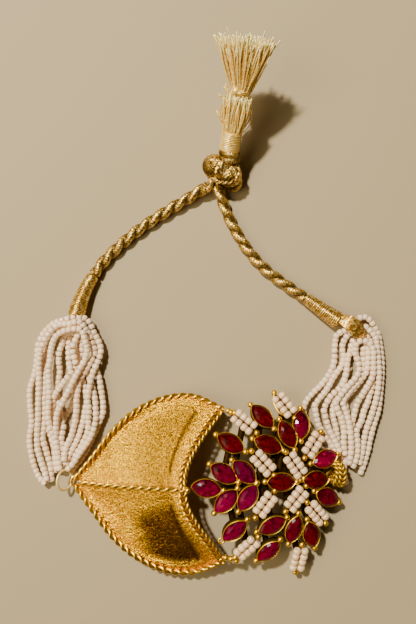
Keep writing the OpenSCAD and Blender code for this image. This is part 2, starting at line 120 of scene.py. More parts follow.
# Lower end and length, along y, of the stretch over which the strands rise
BUNDLE = (-34, 32)
# Routes of the strands, each a loop through the thread at the top: x, y, z
LEFT_STRANDS = [
    [(-34.6, -35.6, 1.6), (-36.1, -34.1, 1), (-37.3, -30.8, 0.75), (-37.9, -26.5, 0.75),
     (-37.4, -22.7, 0.75), (-37.7, -19, 0.75), (-37.7, -15.6, 0.75), (-36.7, -12.2, 0.8),
     (-35.8, -9.2, 1.4), (-35.4, -6.2, 1.6), (-34.2, -4, 2.1), (-32, -2.1, 3), (-29.6, -1.3, 3.6),
     (-27.4, -0.7, 3.6), (-25.5, -1.2, 3), (-24.1, -3.8, 2.2), (-23, -6, 1.7), (-22.9, -8.6, 1.5),
     (-23.6, -10.7, 1.4), (-24.3, -12.7, 1.4), (-24.9, -17, 1.4), (-24.6, -20.5, 1.4),
     (-25.2, -24, 1.5), (-26.7, -27.3, 1.6), (-29, -30.7, 1.5), (-30.1, -32, 1.2)],
    [(-33.6, -34.7, 1.9), (-34.6, -31.8, 1.4), (-35.7, -28.3, 1.3), (-35.8, -25, 1.3),
     (-35.5, -21, 1.3), (-35.6, -16.9, 1.3), (-35.6, -15.5, 1.4), (-35.6, -12, 1.7),
     (-35.5, -9.3, 2.3), (-34.9, -6.5, 2.6), (-33.5, -4, 3), (-31.3, -2, 3.6), (-28.7, -1.7, 3.9),
     (-26.4, -1.3, 3.8), (-24.9, -3.8, 2.6), (-23.7, -6.7, 1.9), (-23.7, -8.5, 1.7),
     (-25.3, -11.2, 1.5), (-26.9, -13.5, 1.4), (-27.5, -16.1, 1.4), (-27.7, -17.7, 1.3),
     (-27.8, -20.2, 1.2), (-28.5, -22.9, 1), (-29.1, -25.6, 0.9), (-30.2, -28.3, 1),
     (-30.4, -30.6, 1.7)],
    [(-33, -34.8, 1.4), (-33.2, -32.5, 1.1), (-33.8, -28.9, 0.75), (-34.6, -25.7, 0.75),
     (-34.7, -22.4, 0.75), (-34.6, -18.3, 0.75), (-34.6, -15.6, 0.75), (-34.8, -11.2, 0.75),
     (-34.8, -7.5, 0.8), (-34, -4.4, 1.5), (-32.1, -2.9, 2.3), (-29.3, -2.3, 2.8),
     (-27.1, -2.5, 3), (-27.4, -4.7, 2.2), (-28, -7, 1.6), (-27.4, -9.5, 1.1),
     (-27.3, -12.2, 0.75), (-27.8, -14.3, 0.75), (-27.9, -16.8, 0.75), (-28.5, -18.6, 0.8),
     (-29.9, -20.8, 0.9), (-30.8, -23.1, 0.9), (-31.2, -25.1, 0.8), (-31.1, -27.8, 0.8),
     (-30.9, -30.5, 1)],
    [(-30.9, -32.1, 2.2), (-31.3, -29.6, 2), (-31.7, -26.5, 2), (-32.6, -23.8, 2),
     (-33.2, -20.9, 2.1), (-33, -16.9, 2.1), (-33, -14.8, 2.1), (-33.2, -11.2, 2.1),
     (-33.2, -8.4, 2.2), (-32.7, -5.6, 2.6), (-31.5, -3.1, 3.3), (-29.3, -1.9, 3.9),
     (-26.2, -1.7, 3.9), (-25.3, -4.1, 3.6), (-24.9, -6.4, 3.2), (-25.5, -8.9, 3),
     (-26.7, -11.1, 3.3), (-28, -13.6, 3.3), (-29.1, -15.9, 3.3), (-30.1, -17.8, 3.1),
     (-31.2, -20.3, 2.7), (-31.8, -22.8, 2.0), (-32.2, -25.7, 1.2), (-32.5, -28.9, 0.75),
     (-32.1, -32.2, 1.1)],
    [(-30.6, -31.5, 1.4), (-30.8, -28.2, 0.9), (-31.3, -24.4, 0.8), (-31.8, -21.1, 0.75),
     (-32.1, -17.3, 0.75), (-32.4, -15.3, 0.75), (-31.9, -12.2, 0.9), (-31.3, -9.3, 1.2),
     (-30.9, -6.2, 1.9), (-30.1, -3.8, 2.5), (-28.3, -2.9, 2.6), (-26.6, -4.4, 2),
     (-26.2, -7.5, 0.9), (-25.8, -10.6, 0.75), (-25.2, -12.5, 0.9), (-24.6, -14.6, 1.2),
     (-24.1, -17.1, 1.5), (-23.9, -18.3, 1.6), (-23.9, -21.2, 1.8), (-24.3, -23.9, 1.8),
     (-25.4, -26.3, 1.8), (-27.1, -28.6, 1.8), (-28.7, -30.9, 1.8), (-29.7, -31.9, 1.9)],
    [(-32.9, -33, 0.8), (-32.9, -29.2, 0.75), (-33.3, -25.1, 0.75), (-33.2, -21.1, 0.75),
     (-32.7, -17.8, 1.2), (-32.1, -16.7, 1.7), (-30.9, -15.2, 2.4), (-29.6, -13.6, 2.9),
     (-28.6, -11.9, 3.0), (-29, -9.7, 2.7), (-29.3, -7.5, 2.3), (-29.3, -5, 2.5),
     (-28.6, -3.4, 2.6), (-27, -3.8, 1.8), (-25.9, -6.3, 0.8), (-25, -8.7, 0.75), (-24, -10.8, 1),
     (-23, -13.3, 1), (-22.3, -16.2, 1), (-22.2, -17, 0.9), (-22, -20.4, 0.8),
     (-23.1, -23.1, 0.75), (-24.2, -25.7, 0.75), (-25.6, -28.2, 0.75), (-27.3, -30.5, 0.8),
     (-29.2, -32.5, 1)],
    [(-28, -4, 1.2), (-27.8, -6.8, 0.75), (-27.6, -9.5, 0.75), (-27.1, -12.2, 0.8),
     (-26.4, -14.8, 1), (-25.9, -17.2, 1), (-25.8, -18.6, 0.9), (-26, -21.9, 0.8),
     (-26.6, -24.8, 0.8), (-28, -27.5, 0.9), (-29.4, -29.8, 1.1), (-30.2, -31.5, 1.5)],
]
RIGHT_STRANDS = [
    [(33.7, -33.5, 0.75), (34.4, -31.4, 0.75), (35, -29.2, 0.75), (35.5, -26.7, 0.75),
     (36, -24.4, 0.75), (36.6, -22.2, 0.75), (37.3, -19.8, 0.75), (37.6, -17.2, 0.75),
     (37.9, -13.7, 0.75), (38.1, -10, 0.75), (37.8, -6.3, 0.9), (37.1, -3.2, 1.3),
     (35.3, -0.6, 1.8), (33.6, -0.3, 2.1), (31.7, -1.5, 2.3), (30.3, -2.9, 2.4), (28.5, -4, 1.6),
     (28.2, -5.8, 1), (27.9, -9.1, 0.75), (27.2, -11.4, 0.75), (25.2, -14.3, 0.75),
     (23.3, -16.2, 0.75), (21.6, -18.3, 0.8), (21.2, -20.4, 0.9), (22.4, -23.7, 0.9),
     (25.3, -26.9, 0.8), (28.1, -30.2, 0.8)],
    [(32.8, -31, 1.6), (33.4, -28.8, 1.5), (33.8, -26.5, 1.5), (34.3, -24.3, 1.4),
     (35.1, -22.1, 1.4), (35.8, -19.5, 1.4), (36.2, -18.1, 1.4), (36.7, -15.5, 1.5),
     (36.9, -12.4, 1.7), (36.8, -9.3, 1.9), (36.7, -6.2, 2.1), (36.3, -4.1, 2.4), (35, -2.5, 2.7),
     (33.6, -1.7, 2.6), (31.6, -2.9, 2.6), (30.4, -4.4, 2.2), (29.9, -6.2, 1.4), (30.2, -8.2, 1),
     (29.9, -10.5, 0.9), (28.6, -12.2, 1.3), (27.3, -14.1, 1.6), (25.8, -15.8, 1.6),
     (24.3, -17.6, 1.5), (23.5, -19.1, 1.6), (24.2, -22.2, 1.6), (26.5, -25.8, 1.4), (29.1, -29.1, 1)],
    [(31.8, -31.8, 1.8), (32.5, -29.5, 1.7), (32.6, -27.1, 1.6), (32.4, -24.5, 1.5),
     (33.4, -22.2, 1.4), (34.2, -19.8, 1.4), (35.2, -17.9, 1.4), (36, -15.3, 1.4),
     (36.4, -12.8, 1), (36.2, -10, 0.75), (36, -6.9, 0.75), (35.3, -4.4, 1.2), (33.8, -3.8, 1.6),
     (32, -4.4, 1.9), (31.1, -5.7, 1.6), (30.8, -7.7, 1.3), (30.6, -9.7, 1.2), (30.5, -11.7, 1.2),
     (29.9, -13.7, 1.2), (28.7, -15.7, 1.2), (27.3, -17.4, 1.2), (26.2, -19.5, 1.2),
     (26, -21.3, 1.2), (26.8, -23.9, 1.2), (28.3, -26.3, 1.3), (29.4, -28.3, 1.5)],
    [(31.8, -31.9, 0.8), (31.6, -28.7, 0.8), (31.4, -25.4, 0.9), (31.4, -22.8, 1.1),
     (32, -20.4, 1.4), (32.5, -18.3, 1.7), (33.3, -16.7, 1.9), (34.7, -14.6, 2.2),
     (35.7, -12.4, 2.4), (35.8, -9.9, 2.6), (35.7, -7.4, 2.7), (35, -5.7, 2.8), (33.6, -4.9, 2.9),
     (32.2, -5.5, 2.8), (32.1, -7.5, 2), (32.5, -9.3, 1.5), (32.7, -11.2, 1.4), (31.6, -13.2, 1.5),
     (30.1, -15, 1.7), (28.4, -17.1, 1.9), (27.8, -18.1, 2), (28.3, -19.8, 2.1), (29.2, -22, 2.1),
     (29.8, -24.1, 2), (29.8, -26.4, 1.9), (30.1, -28.9, 1.8)],
    [(30.7, -31.1, 2.2), (30.9, -28.1, 2.4), (30.7, -25.6, 2.4), (30.4, -23, 2.2),
     (29.8, -20.5, 2), (29, -18.1, 1.8), (29.6, -17.1, 1.6), (31.1, -15.1, 1.5),
     (32.8, -13.2, 1.4), (33.6, -11.2, 1.4), (33.7, -8.7, 1.5), (33.8, -6.7, 1.7),
     (34.5, -5.7, 1.9), (35, -7.5, 1.6), (35, -9.7, 1.4), (34.7, -11.7, 1.2), (33.5, -13.6, 0.9),
     (31.9, -15.7, 0.8), (30.4, -17.8, 0.75), (30.5, -19.3, 0.75), (30.9, -21.3, 0.75),
     (30.5, -24.3, 0.75), (30.6, -27.4, 0.8), (30.8, -29.9, 0.9), (30, -32.3, 1), (30.1, -34.2, 1),
     (30.4, -35.4, 0.9)],
    [(30.9, -11, 0.75), (29.6, -14, 0.75), (28.3, -16.8, 0.75), (27.5, -19.4, 0.75),
     (27.6, -22, 0.75), (28.4, -24.8, 0.75), (29.1, -27.6, 0.75), (30, -30.4, 0.75)],
]
# Turns of the knot: middle, radius of the turn, radius of its cord, the way its axis points
KNOT_TURNS = [
    ((1.75, 32.0, 4.3), 0.5, 2.0, (-0.45, 0.25, 0.85)),
    ((5.2, 30.0, 4.2), 0.55, 2.0, (0.4, -0.25, 0.9)),
    ((5.8, 28.9, 2.7), 0.8, 1.3, (0.2, -0.2, 1.0)),
    ((2.4, 31.6, 2.4), 1.4, 1.1, (-0.2, 0.1, 1.0)),
    ((5.1, 34.3, 5.7), 1.55, 0.75, (0.15, 0.85, 0.45)),
    ((4.95, 33.3, 5.1), 1.6, 0.75, (0.1, 0.85, 0.45))]
# The band that crosses the knot between its lobes, and the lap along the right lobe: route and radius
KNOT_BANDS = [
    ([(5.4, 33.2, 5.4), (4.5, 32.6, 6.3), (3.3, 31.4, 6.6), (2.6, 30.2, 6.0), (2.7, 29.1, 4.9)], 0.8),
    ([(1.4, 29.6, 4.0), (2.4, 28.6, 4.9), (4.2, 28.2, 5.3), (6.0, 28.6, 5.4), (7.0, 29.8, 5.5),
      (7.0, 31.2, 5.2), (6.2, 32.3, 4.6)], 0.45)]
KNOT_CORE = (3.8, 31.5, 4.2)
TASSEL_NECK = [(5.1, 35.15, 6.2), (5.3, 36.6, 7.15), (5.6, 38.3, 8.2)]
TASSEL_TIE = (7.2, 44.6, 11.9)
TASSEL_TIP = (8.2, 53.0, 16.1)
# Stray tufts beside the tassel
TASSEL_STRAYS = [
    [(4.6, 38.6, 9.2), (3.2, 40.2, 10.4), (2.5, 41.3, 11.0)],
    [(5.3, 41.0, 10.8), (4.2, 42.6, 11.6), (3.0, 44.2, 12.2)],
    [(5.6, 42.4, 11.4), (4.6, 44.6, 12.6), (4.0, 46.0, 13.0)],
    [(6.4, 46.2, 13.2), (3.4, 50.8, 15.2), (1.7, 54.4, 16.4)]]


# Curves and frames

def unit(v):
    """Each vector divided by its own length."""
    return v / np.linalg.norm(v, axis=-1, keepdims=True)


def ease(t):
    """Rises smoothly from 0 to 1 as t does: 3 t squared less 2 t cubed."""
    t = np.clip(t, 0, 1)
    return t * t * (3 - 2 * t)


def on_spline(points, s):
    """Points of the cubic curve through the points, at s from 0 to 1. It leaves each point along the line
    between the point's neighbours."""
    p = np.asarray(points, float)
    n = len(p) - 1
    at = np.clip(np.asarray(s, float) * n, 0, n - 1e-9)
    i = at.astype(int)
    t = (at - i)[..., None]
    a, b, c, d = p[np.maximum(i - 1, 0)], p[i], p[i + 1], p[np.minimum(i + 2, n)]
    return 0.5 * (2 * b + (c - a) * t + (2 * a - 5 * b + 4 * c - d) * t ** 2
                  + (3 * b - a - 3 * c + d) * t ** 3)


def lengths(curve):
    """How far along the curve each of its points lies."""
    steps = np.linalg.norm(np.diff(curve, axis=0), axis=1)
    return np.concatenate([[0], np.cumsum(steps)])


def smooth(points, step):
    """Points of the smooth curve through the points, evenly spaced and about a step apart."""
    curve = on_spline(points, np.linspace(0, 1, 24 * len(points)))
    s = lengths(curve)
    at = np.linspace(0, s[-1], max(2, int(round(s[-1] / step)) + 1))
    return np.stack([np.interp(at, s, column) for column in curve.T], axis=1)


def along_line(line, up=(0, 0, 1), closed=False):
    """Tangent, side and normal at each point: the side is square to the tangent and up."""
    ahead = np.roll(line, -1, axis=0) - np.roll(line, 1, axis=0) if closed else np.gradient(line, axis=0)
    tangent = unit(ahead)
    side = unit(np.cross(tangent, np.asarray(up, float)))
    return tangent, side, np.cross(side, tangent)


def square_axes(direction):
    """Two unit vectors square to the direction and to each other. The first is as near upwards as it can be,
    or as near the x axis where the direction is steep."""
    d = unit(np.asarray(direction, float))
    up = np.array([0.0, 0, 1]) if abs(d[2]) < 0.8 else np.array([1.0, 0, 0])
    a = unit(up - d * up.dot(d))
    return a, np.cross(d, a)


def hoop_line(middle, axis, radius, count):
    """Points of a circle about the axis, evenly spaced: the middle plus cosine and sine parts."""
    a, b = square_axes(axis)
    angle = np.linspace(0, 2 * np.pi, count, endpoint=False)[:, None]
    return np.asarray(middle, float) + radius * (np.cos(angle) * a + np.sin(angle) * b)


# Skins: every shape is a grid of points with four-cornered faces

class Skin:
    """Points, faces, the places of the faces' corners on the skin in millimetres, and for each point a ridge
    value, which is low in hollows, and a tone. The finishes paint shade where the ridge value is low. The
    tone is a random shade on beads, painted shade on the leaf, and painted light on the rubies and the
    tassel."""

    def __init__(self, points, faces, uv, ridge, tone=None):
        self.points, self.faces, self.uv, self.ridge = points, faces, uv, ridge
        self.tone = np.zeros(len(points)) if tone is None else tone

    @staticmethod
    def joined(skins):
        """All the skins as one, each after the last."""
        starts = np.cumsum([0] + [len(s.points) for s in skins[:-1]])
        return Skin(np.concatenate([s.points for s in skins]),
                    np.concatenate([s.faces + n for s, n in zip(skins, starts)]),
                    np.concatenate([s.uv for s in skins]),
                    np.concatenate([s.ridge for s in skins]),
                    np.concatenate([s.tone for s in skins]))

    def copies(self, places, axes=None, tones=None):
        """The skin at each place, its x, y and z turned along the columns of that place's axes, if given."""
        count, size = len(places), len(self.points)
        points = self.points[None] if axes is None else np.einsum("nij,pj->npi", axes, self.points)
        points = points + np.asarray(places)[:, None]
        faces = self.faces[None] + (np.arange(count) * size)[:, None, None]
        tone = np.tile(self.tone, count) if tones is None else np.repeat(tones, size)
        return Skin(points.reshape(-1, 3), faces.reshape(-1, 4), np.tile(self.uv, (count, 1, 1)),
                    np.tile(self.ridge, count), tone)


def grid(points, close_rows=False, caps=False, ridge=None, size=(1.0, 1.0)):
    """Skin over rows and columns of points, closed from the last column to the first. It faces the way that
    row direction times column direction points. Caps pair the columns of an end row across it."""
    rows, columns = points.shape[:2]
    i = np.arange(rows if close_rows else rows - 1)[:, None]
    k = np.arange(columns)[None, :]
    i2, k2 = (i + 1) % rows, (k + 1) % columns
    faces = np.stack([i * columns + k, i2 * columns + k, i2 * columns + k2, i * columns + k2], axis=-1)
    ones = np.ones_like(i * k)
    corners = ((i, k), (i + 1, k), (i + 1, k + 1), (i, k + 1))
    place = np.stack([np.stack([a * ones, b * ones], axis=-1) for a, b in corners], axis=-2)
    faces, place = faces.reshape(-1, 4), place.reshape(-1, 4, 2).astype(float)
    if caps:
        c = np.arange(columns // 2 - 1)
        start = np.stack([c, c + 1, columns - 2 - c, columns - 1 - c], axis=-1)
        ends = np.concatenate([start, (rows - 1) * columns + start[:, ::-1]])
        faces = np.concatenate([faces, ends])
        place = np.concatenate([place, np.stack([ends // columns, ends % columns], axis=-1)])
    place = place / (len(i), columns) * size
    ridge = np.ones((rows, columns)) if ridge is None else ridge
    return Skin(points.reshape(-1, 3), faces, place, ridge.reshape(-1))


def around(line, radius, up=(0, 0, 1), closed=False, ridge=None):
    """Skin about the line: at each point a ring of the radius, given for each row and column."""
    _, side, normal = along_line(line, up, closed)
    angle = np.linspace(0, 2 * np.pi, radius.shape[1], endpoint=False)[None, :, None]
    out = np.cos(angle) * side[:, None] + np.sin(angle) * normal[:, None]
    return grid(line[:, None] + radius[..., None] * out, close_rows=closed, caps=not closed, ridge=ridge,
                size=(lengths(line)[-1], 2 * np.pi * radius.max()))


def tube(line, radius, columns=8, up=(0, 0, 1), closed=False, ridge=1.0):
    """Plain round skin about the line, with the one ridge value."""
    line = np.asarray(line, float)
    radius = np.full((len(line), columns), float(radius))
    return around(line, radius, up, closed, ridge=np.full(radius.shape, ridge))


def rope(line, radius, lay, plies=2, hand=1, columns=16, closed=False, strand=0.56, threads=0, cut=0.0):
    """Twisted rope about the line. Each ply is a circle, whose radius is the strand's share of the rope's and
    whose middle turns about the line once a lay. The skin reaches its far side in each direction. Fine
    threads, cut in by the depth given, add a sine about the ply's own middle."""
    line = np.asarray(line, float)
    s = lengths(line)
    if closed:
        whole = s[-1] + np.linalg.norm(line[0] - line[-1])
        lay = whole / max(1, round(whole / lay * plies)) * plies
    angle = np.linspace(0, 2 * np.pi, columns, endpoint=False)[None, :]
    sector = 2 * np.pi / plies
    off = (angle - hand * 2 * np.pi * s[:, None] / lay + sector / 2) % sector - sector / 2
    middle = 1 - strand

    def far_side(turn):
        """How far a ply reaches in the direction that is turned by the angle from its middle."""
        return middle * np.cos(turn) + np.sqrt(strand ** 2 - (middle * np.sin(turn)) ** 2)

    reach, low = far_side(off), far_side(sector / 2)
    ridge = (reach - low) / (1 - low)
    if threads:
        own_angle = np.arctan2(reach * np.sin(off), reach * np.cos(off) - middle)
        thread_lay = 0.45 * lay / threads
        wave = np.abs(np.sin(threads * own_angle / 2 + np.pi * s[:, None] / thread_lay))
        reach = reach + cut / radius * (wave - 0.6)
        ridge = ridge * (0.45 + 0.55 * wave)
    return around(line, radius * reach, closed=closed, ridge=ridge)


def hoop(middle, radius, wire, axis):
    """Closed ring of plain round wire about the axis."""
    return tube(hoop_line(middle, axis, radius, 72), wire, 12, up=axis, closed=True)


def turned(profile, columns, closed=False):
    """Skin of a profile of radius and height turned about z, its outer side going up."""
    angle = -np.linspace(0, 2 * np.pi, columns, endpoint=False)[None, :]
    r, z = np.asarray(profile, float).T[:, :, None]
    points = np.stack([r * np.cos(angle), r * np.sin(angle), z + 0 * angle], axis=-1)
    return grid(points, close_rows=closed, caps=not closed)


def ball(radius, rows=8, columns=12):
    """Round ball as rings nearly from pole to pole: sine and cosine of an even angle."""
    gap = 0.16
    angle = np.linspace(gap, np.pi - gap, rows)
    return turned(np.stack([radius * np.sin(angle), -radius * np.cos(angle)], axis=1), columns)


def seed_bead(diameter, length):
    """Rounded bead with a hole along z: an oval carried round the axis. Its ridge value grows outwards."""
    hole, rows, columns = 0.3, 8, 12
    angle = np.linspace(0, 2 * np.pi, rows, endpoint=False) + np.pi / rows
    middle, half = (diameter + hole) / 4, (diameter - hole) / 4
    oval = np.stack([middle + half * np.cos(angle), length / 2 * np.sin(angle)], axis=1)
    skin = turned(oval, columns, closed=True)
    out = np.hypot(skin.points[:, 0], skin.points[:, 1])
    skin.ridge = np.clip((out - hole / 2) / (diameter / 2 - hole / 2), 0, 1)
    return skin


# The dome that the ornament follows

def dome_z(u, v):
    """Height of the dome: the rim plus the rise times a parabola each way."""
    return DOME["rim"] + DOME["rise"] * (np.maximum(0, 1 - (u / DOME["half_length"]) ** 2)
                                         * np.maximum(0, 1 - (v / DOME["half_width"]) ** 2))


def on_dome(u, v, lift=0.0):
    """Points over u and v of the ornament, lifted straight up from the dome."""
    u, v = np.asarray(u, float), np.asarray(v, float)
    return np.stack([u + ORNAMENT[0], v + ORNAMENT[1], dome_z(u, v) + lift], axis=-1)


def seat(u, v, turn):
    """Place and axes of a piece that stands on the dome, turned about the dome's normal."""
    a, b = DOME["half_length"], DOME["half_width"]
    slope = (2 * u / a ** 2 * DOME["rise"] * max(0, 1 - (v / b) ** 2),
             2 * v / b ** 2 * DOME["rise"] * max(0, 1 - (u / a) ** 2))
    z = unit(np.array([slope[0], slope[1], 1.0]))
    x = np.array([np.cos(np.radians(turn)), np.sin(np.radians(turn)), 0.0])
    x = unit(x - z * x.dot(z))
    return on_dome(u, v), np.stack([x, np.cross(z, x), z], axis=1)


def seated(points, u, v, turn):
    """Points of a piece's own frame, carried to its seat on the dome."""
    place, axes = seat(u, v, turn)
    return np.asarray(points, float) @ axes.T + place


# Finishes

BLACK, WHITE = (0, 0, 0), (1, 1, 1)


class Value:
    """A value that varies over a surface. Arithmetic with it adds Math nodes."""

    def __init__(self, finish, socket):
        self.finish, self.socket = finish, socket

    def _math(self, operation, first, second):
        return self.finish.node("ShaderNodeMath", {"operation": operation}, {0: first, 1: second})

    def __add__(self, other):
        return self._math("ADD", self, other)

    def __radd__(self, other):
        return self._math("ADD", other, self)

    def __sub__(self, other):
        return self._math("SUBTRACT", self, other)

    def __rsub__(self, other):
        return self._math("SUBTRACT", other, self)

    def __mul__(self, other):
        return self._math("MULTIPLY", self, other)

    def __rmul__(self, other):
        return self._math("MULTIPLY", other, self)


class Finish:
    """A material under construction, with one method for every node."""

    def __init__(self, name, constants):
        self.material = bpy.data.materials.new(name)
        self.material.use_nodes = True
        self.tree = self.material.node_tree
        self.surface = next(n for n in self.tree.nodes if n.type == "BSDF_PRINCIPLED")
        self.feed(self.surface, constants)

    def feed(self, node, values):
        """Gives each named socket its value, or links it."""
        for key, value in values.items():
            socket = node.inputs[key]
            if isinstance(value, Value):
                self.tree.links.new(value.socket, socket)
            elif socket.type == "RGBA":
                socket.default_value = (*value[:3], 1.0)
            else:
                socket.default_value = value

    def node(self, kind, settings, values, output=0):
        """A new node: its settings first, with a ramp's stops among them, and then its sockets."""
        made = self.tree.nodes.new(kind)
        for key, value in settings.items():
            if key == "stops":
                ramp = made.color_ramp
                for n, (place, colour) in enumerate(value):
                    stop = ramp.elements[n] if n < 2 else ramp.elements.new(place)
                    stop.position, stop.color = place, (*colour[:3], 1.0)
            else:
                setattr(made, key, value)
        self.feed(made, values)
        return Value(self, made.outputs[output])

    def noise(self, size_mm, detail=3.0, roughness=0.55):
        """Cloudy noise over object coordinates, whose blotches are about the size given."""
        place = self.node("ShaderNodeTexCoord", {}, {}, "Object")
        return self.node("ShaderNodeTexNoise", {}, {
            "Vector": place, "Scale": 1 / (size_mm * MM), "Detail": detail, "Roughness": roughness})

    def attribute(self, name):
        """A number kept on the mesh."""
        return self.node("ShaderNodeAttribute", {"attribute_name": name}, {}, "Fac")

    def mix(self, factor, first, second):
        """Colour between the first and the second, by the factor."""
        return self.node("ShaderNodeMix", {"data_type": "RGBA"}, {0: factor, 6: first, 7: second}, 2)

    def ramp(self, factor, *stops):
        """Colour looked up between the stops."""
        return self.node("ShaderNodeValToRGB", {"stops": stops}, {"Fac": factor})

    def rise(self, factor, low, high):
        """Black up to the low value and white from the high one."""
        return self.ramp(factor, (low, BLACK), (high, WHITE))

    def fall(self, factor, low, high):
        """White up to the low value and black from the high one."""
        return self.ramp(factor, (low, WHITE), (high, BLACK))

    def bump(self, height, distance_mm, strength=1.0):
        """Normal bent by a height."""
        return self.node("ShaderNodeBump", {}, {
            "Height": height, "Distance": distance_mm * MM, "Strength": strength})


def tinted(colour, *factors):
    """The colour with its parts multiplied by one factor or by three, and none above 1."""
    return tuple(np.minimum(1.0, np.array(colour[:3]) * factors).tolist())


def leaf_gold_finish(colour):
    """Stippled gold. A coarse and a fine grain bend the normal. The fine one is ochre in its hollows and pale
    on
    its tops: its own grain, with painted shade in the hollows and painted glints on the tops. Where the tone
    is high, painted shade turns the gold brown, lighter on the grain's tops, and painted shade turns it brown
    in creases."""
    f = Finish("leaf gold", {"Metallic": 1.0})
    grain = f.noise(0.34, 2.0, roughness=0.65)
    lumps = f.noise(1.1, 2.0)
    cloud = f.noise(5.0, 2.0)
    # Painted shade and painted glints at the grain's scale: over the grain's own colour, its hollows are
    # ochre and its tops pale
    ochre, pale = tinted(colour, 0.76, 0.68, 0.3), tinted(colour, 1.05, 1.3, 0.8)
    brown, painted_shade_tops = tinted(colour, 0.11, 0.09, 0.2), tinted(colour, 0.33, 0.25, 0.3)
    body = f.mix(f.rise(cloud, 0.4, 0.62), colour, tinted(colour, 0.9))
    stippled = f.mix(f.fall(grain, 0.4, 0.5), body, ochre)
    stippled = f.mix(f.rise(grain, 0.54, 0.64), stippled, pale)
    # Painted shade: where the tone is high the gold turns brown, lighter on the grain's tops
    dark_specks_and_painted_shade = f.mix(f.attribute("tone"), stippled, f.mix(f.rise(grain, 0.52, 0.64), brown, painted_shade_tops))
    # Painted shade: the gold turns brown in creases, where the ridge value is low
    f.feed(f.surface, {
        "Base Color": f.mix(f.fall(f.attribute("ridge"), 0.02, 0.5), dark_specks_and_painted_shade, brown),
        "Roughness": 0.22 + 0.1 * grain,
        "Normal": f.bump(grain + 0.5 * lumps, 0.32)})
    return f.material


def gold_finish(name, colour, roughness, metal=1.0, hollow=0.75):
    """Bright gold with painted shade in its hollows: the colour falls to a dark brown where the ridge value
    is below hollow, and the gold is duller there.
    """
    f = Finish(name, {"Metallic": metal})
    grain, ridge = f.noise(0.5), f.attribute("ridge")
    body = f.mix(f.rise(grain, 0.35, 0.7), colour, tinted(colour, 0.9, 0.8, 0.6))
    # Painted shade: where the ridge value is low the colour falls to a dark brown
    f.feed(f.surface, {
        "Base Color": f.mix(f.fall(ridge, 0.1, hollow), body, tinted(colour, 0.04, 0.03, 0.03)),
        "Roughness": roughness + 0.12 * grain + 0.35 * (1 - ridge),
        "Normal": f.bump(grain, 0.02, 0.8)})
    return f.material


def thread_finish(name, colour, shade, dark_specks_and_painted_shade=(0.3, 0.22, 0.12), metal=0.85, roughness=0.4, glitter_mm=0.4,
                  glitter_height=0.16, hollow=0.6):
    """Metal-wound thread: a fine grain paints pale glints, specks are darker, the tone paints the same glint
    colour (on the tassel, painted highlights towards the threads' ends), and the hollows between threads take
    the shade colour as painted shade."""
    f = Finish(name, {"Metallic": metal})
    glitter = f.noise(glitter_mm, 2.0, roughness=0.6)
    tint = f.noise(0.9, 2.0)
    speck = f.noise(0.5, 1.0)
    glint = tinted(colour, 1.08, 1.42, 4.6)
    body = f.mix(f.rise(tint, 0.38, 0.62), colour, tinted(colour, 0.8, 0.68, 0.5))
    body = f.mix(f.fall(speck, 0.44, 0.54), body, tinted(colour, *dark_specks_and_painted_shade))
    # Painted glints on the grain's tops, and painted highlights where the tone is high
    lit = f.mix(f.rise(glitter, 0.5, 0.62), body, glint)
    lit = f.mix(f.attribute("tone"), lit, glint)
    # Painted shade: the hollows between threads take the shade colour
    f.feed(f.surface, {
        "Base Color": f.mix(f.fall(f.attribute("ridge"), 0.05, hollow), lit, shade),
        "Roughness": roughness - 0.16 * glitter,
        "Normal": f.bump(glitter, glitter_height, 0.9)})
    return f.material


def ruby_finish(colour, pink):
    """Cut ruby: a facet's tone, which carries its painted light, runs from near black to the colour, and the
    facet is pinker by its tint.
    """
    f = Finish("ruby", {"Roughness": 0.15, "Specular IOR Level": 0.15})
    tone = f.attribute("tone")
    # Painted light: the tone ramps each facet from near black up to the colour
    red, rose = (f.ramp(tone, (0.0, tinted(hue, dark)), (0.45, tinted(hue, 0.4)), (0.8, hue))
                 for hue, dark in ((colour, 0.07), (pink, 0.06)))
    f.feed(f.surface, {"Base Color": f.mix(f.attribute("tint"), red, rose)})
    return f.material


def bead_finish(colour, honey):
    """Glazed seed beads: each its own shade, painted honey-coloured towards its hole as painted shade where
    beads meet.
    """
    f = Finish("seed beads", {"Coat Weight": 0.55, "Coat Roughness": 0.12})
    body = f.mix(f.attribute("tone"), colour, tinted(colour, 0.99, 0.92, 0.86))
    # Painted shade: each bead turns honey-coloured towards its hole, where beads meet
    f.feed(f.surface, {
        "Base Color": f.mix(f.fall(f.attribute("ridge"), 0.15, 0.8), body, honey),
        "Roughness": 0.24 + 0.16 * f.noise(0.6),
        "Normal": f.bump(f.noise(0.35), 0.012, 0.5)})
    return f.material


# Pieces

def add_piece(name, skin, material, slot, *nodes, crease=None, flat=False, tint=None):
    """Makes the skin a mesh in metres, gives it its finish, and puts it in its nodes' place."""
    mesh = bpy.data.meshes.new(name)
    mesh.vertices.add(len(skin.points))
    mesh.vertices.foreach_set("co", (skin.points * MM).ravel())
    mesh.loops.add(skin.faces.size)
    mesh.loops.foreach_set("vertex_index", skin.faces.ravel())
    mesh.polygons.add(len(skin.faces))
    mesh.polygons.foreach_set("loop_start", np.arange(0, skin.faces.size, 4))
    mesh.update(calc_edges=True)
    mesh.uv_layers.new(name="UVMap").uv.foreach_set("vector", (skin.uv * MM).ravel())
    for key, values in (("ridge", skin.ridge), ("tone", skin.tone), ("tint", tint)):
        if values is not None:
            mesh.attributes.new(key, "FLOAT", "POINT").data.foreach_set("value", np.asarray(values, float))
    if flat:
        mesh.shade_flat()
    else:
        mesh.shade_smooth()
        if crease:
            mesh.set_sharp_from_angle(angle=np.radians(crease))
    mesh.materials.append(material)
    piece = bpy.data.objects.new(name, mesh)
    bpy.context.scene.collection.objects.link(piece)
    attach(piece, "root")
    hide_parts(*nodes)
    return piece


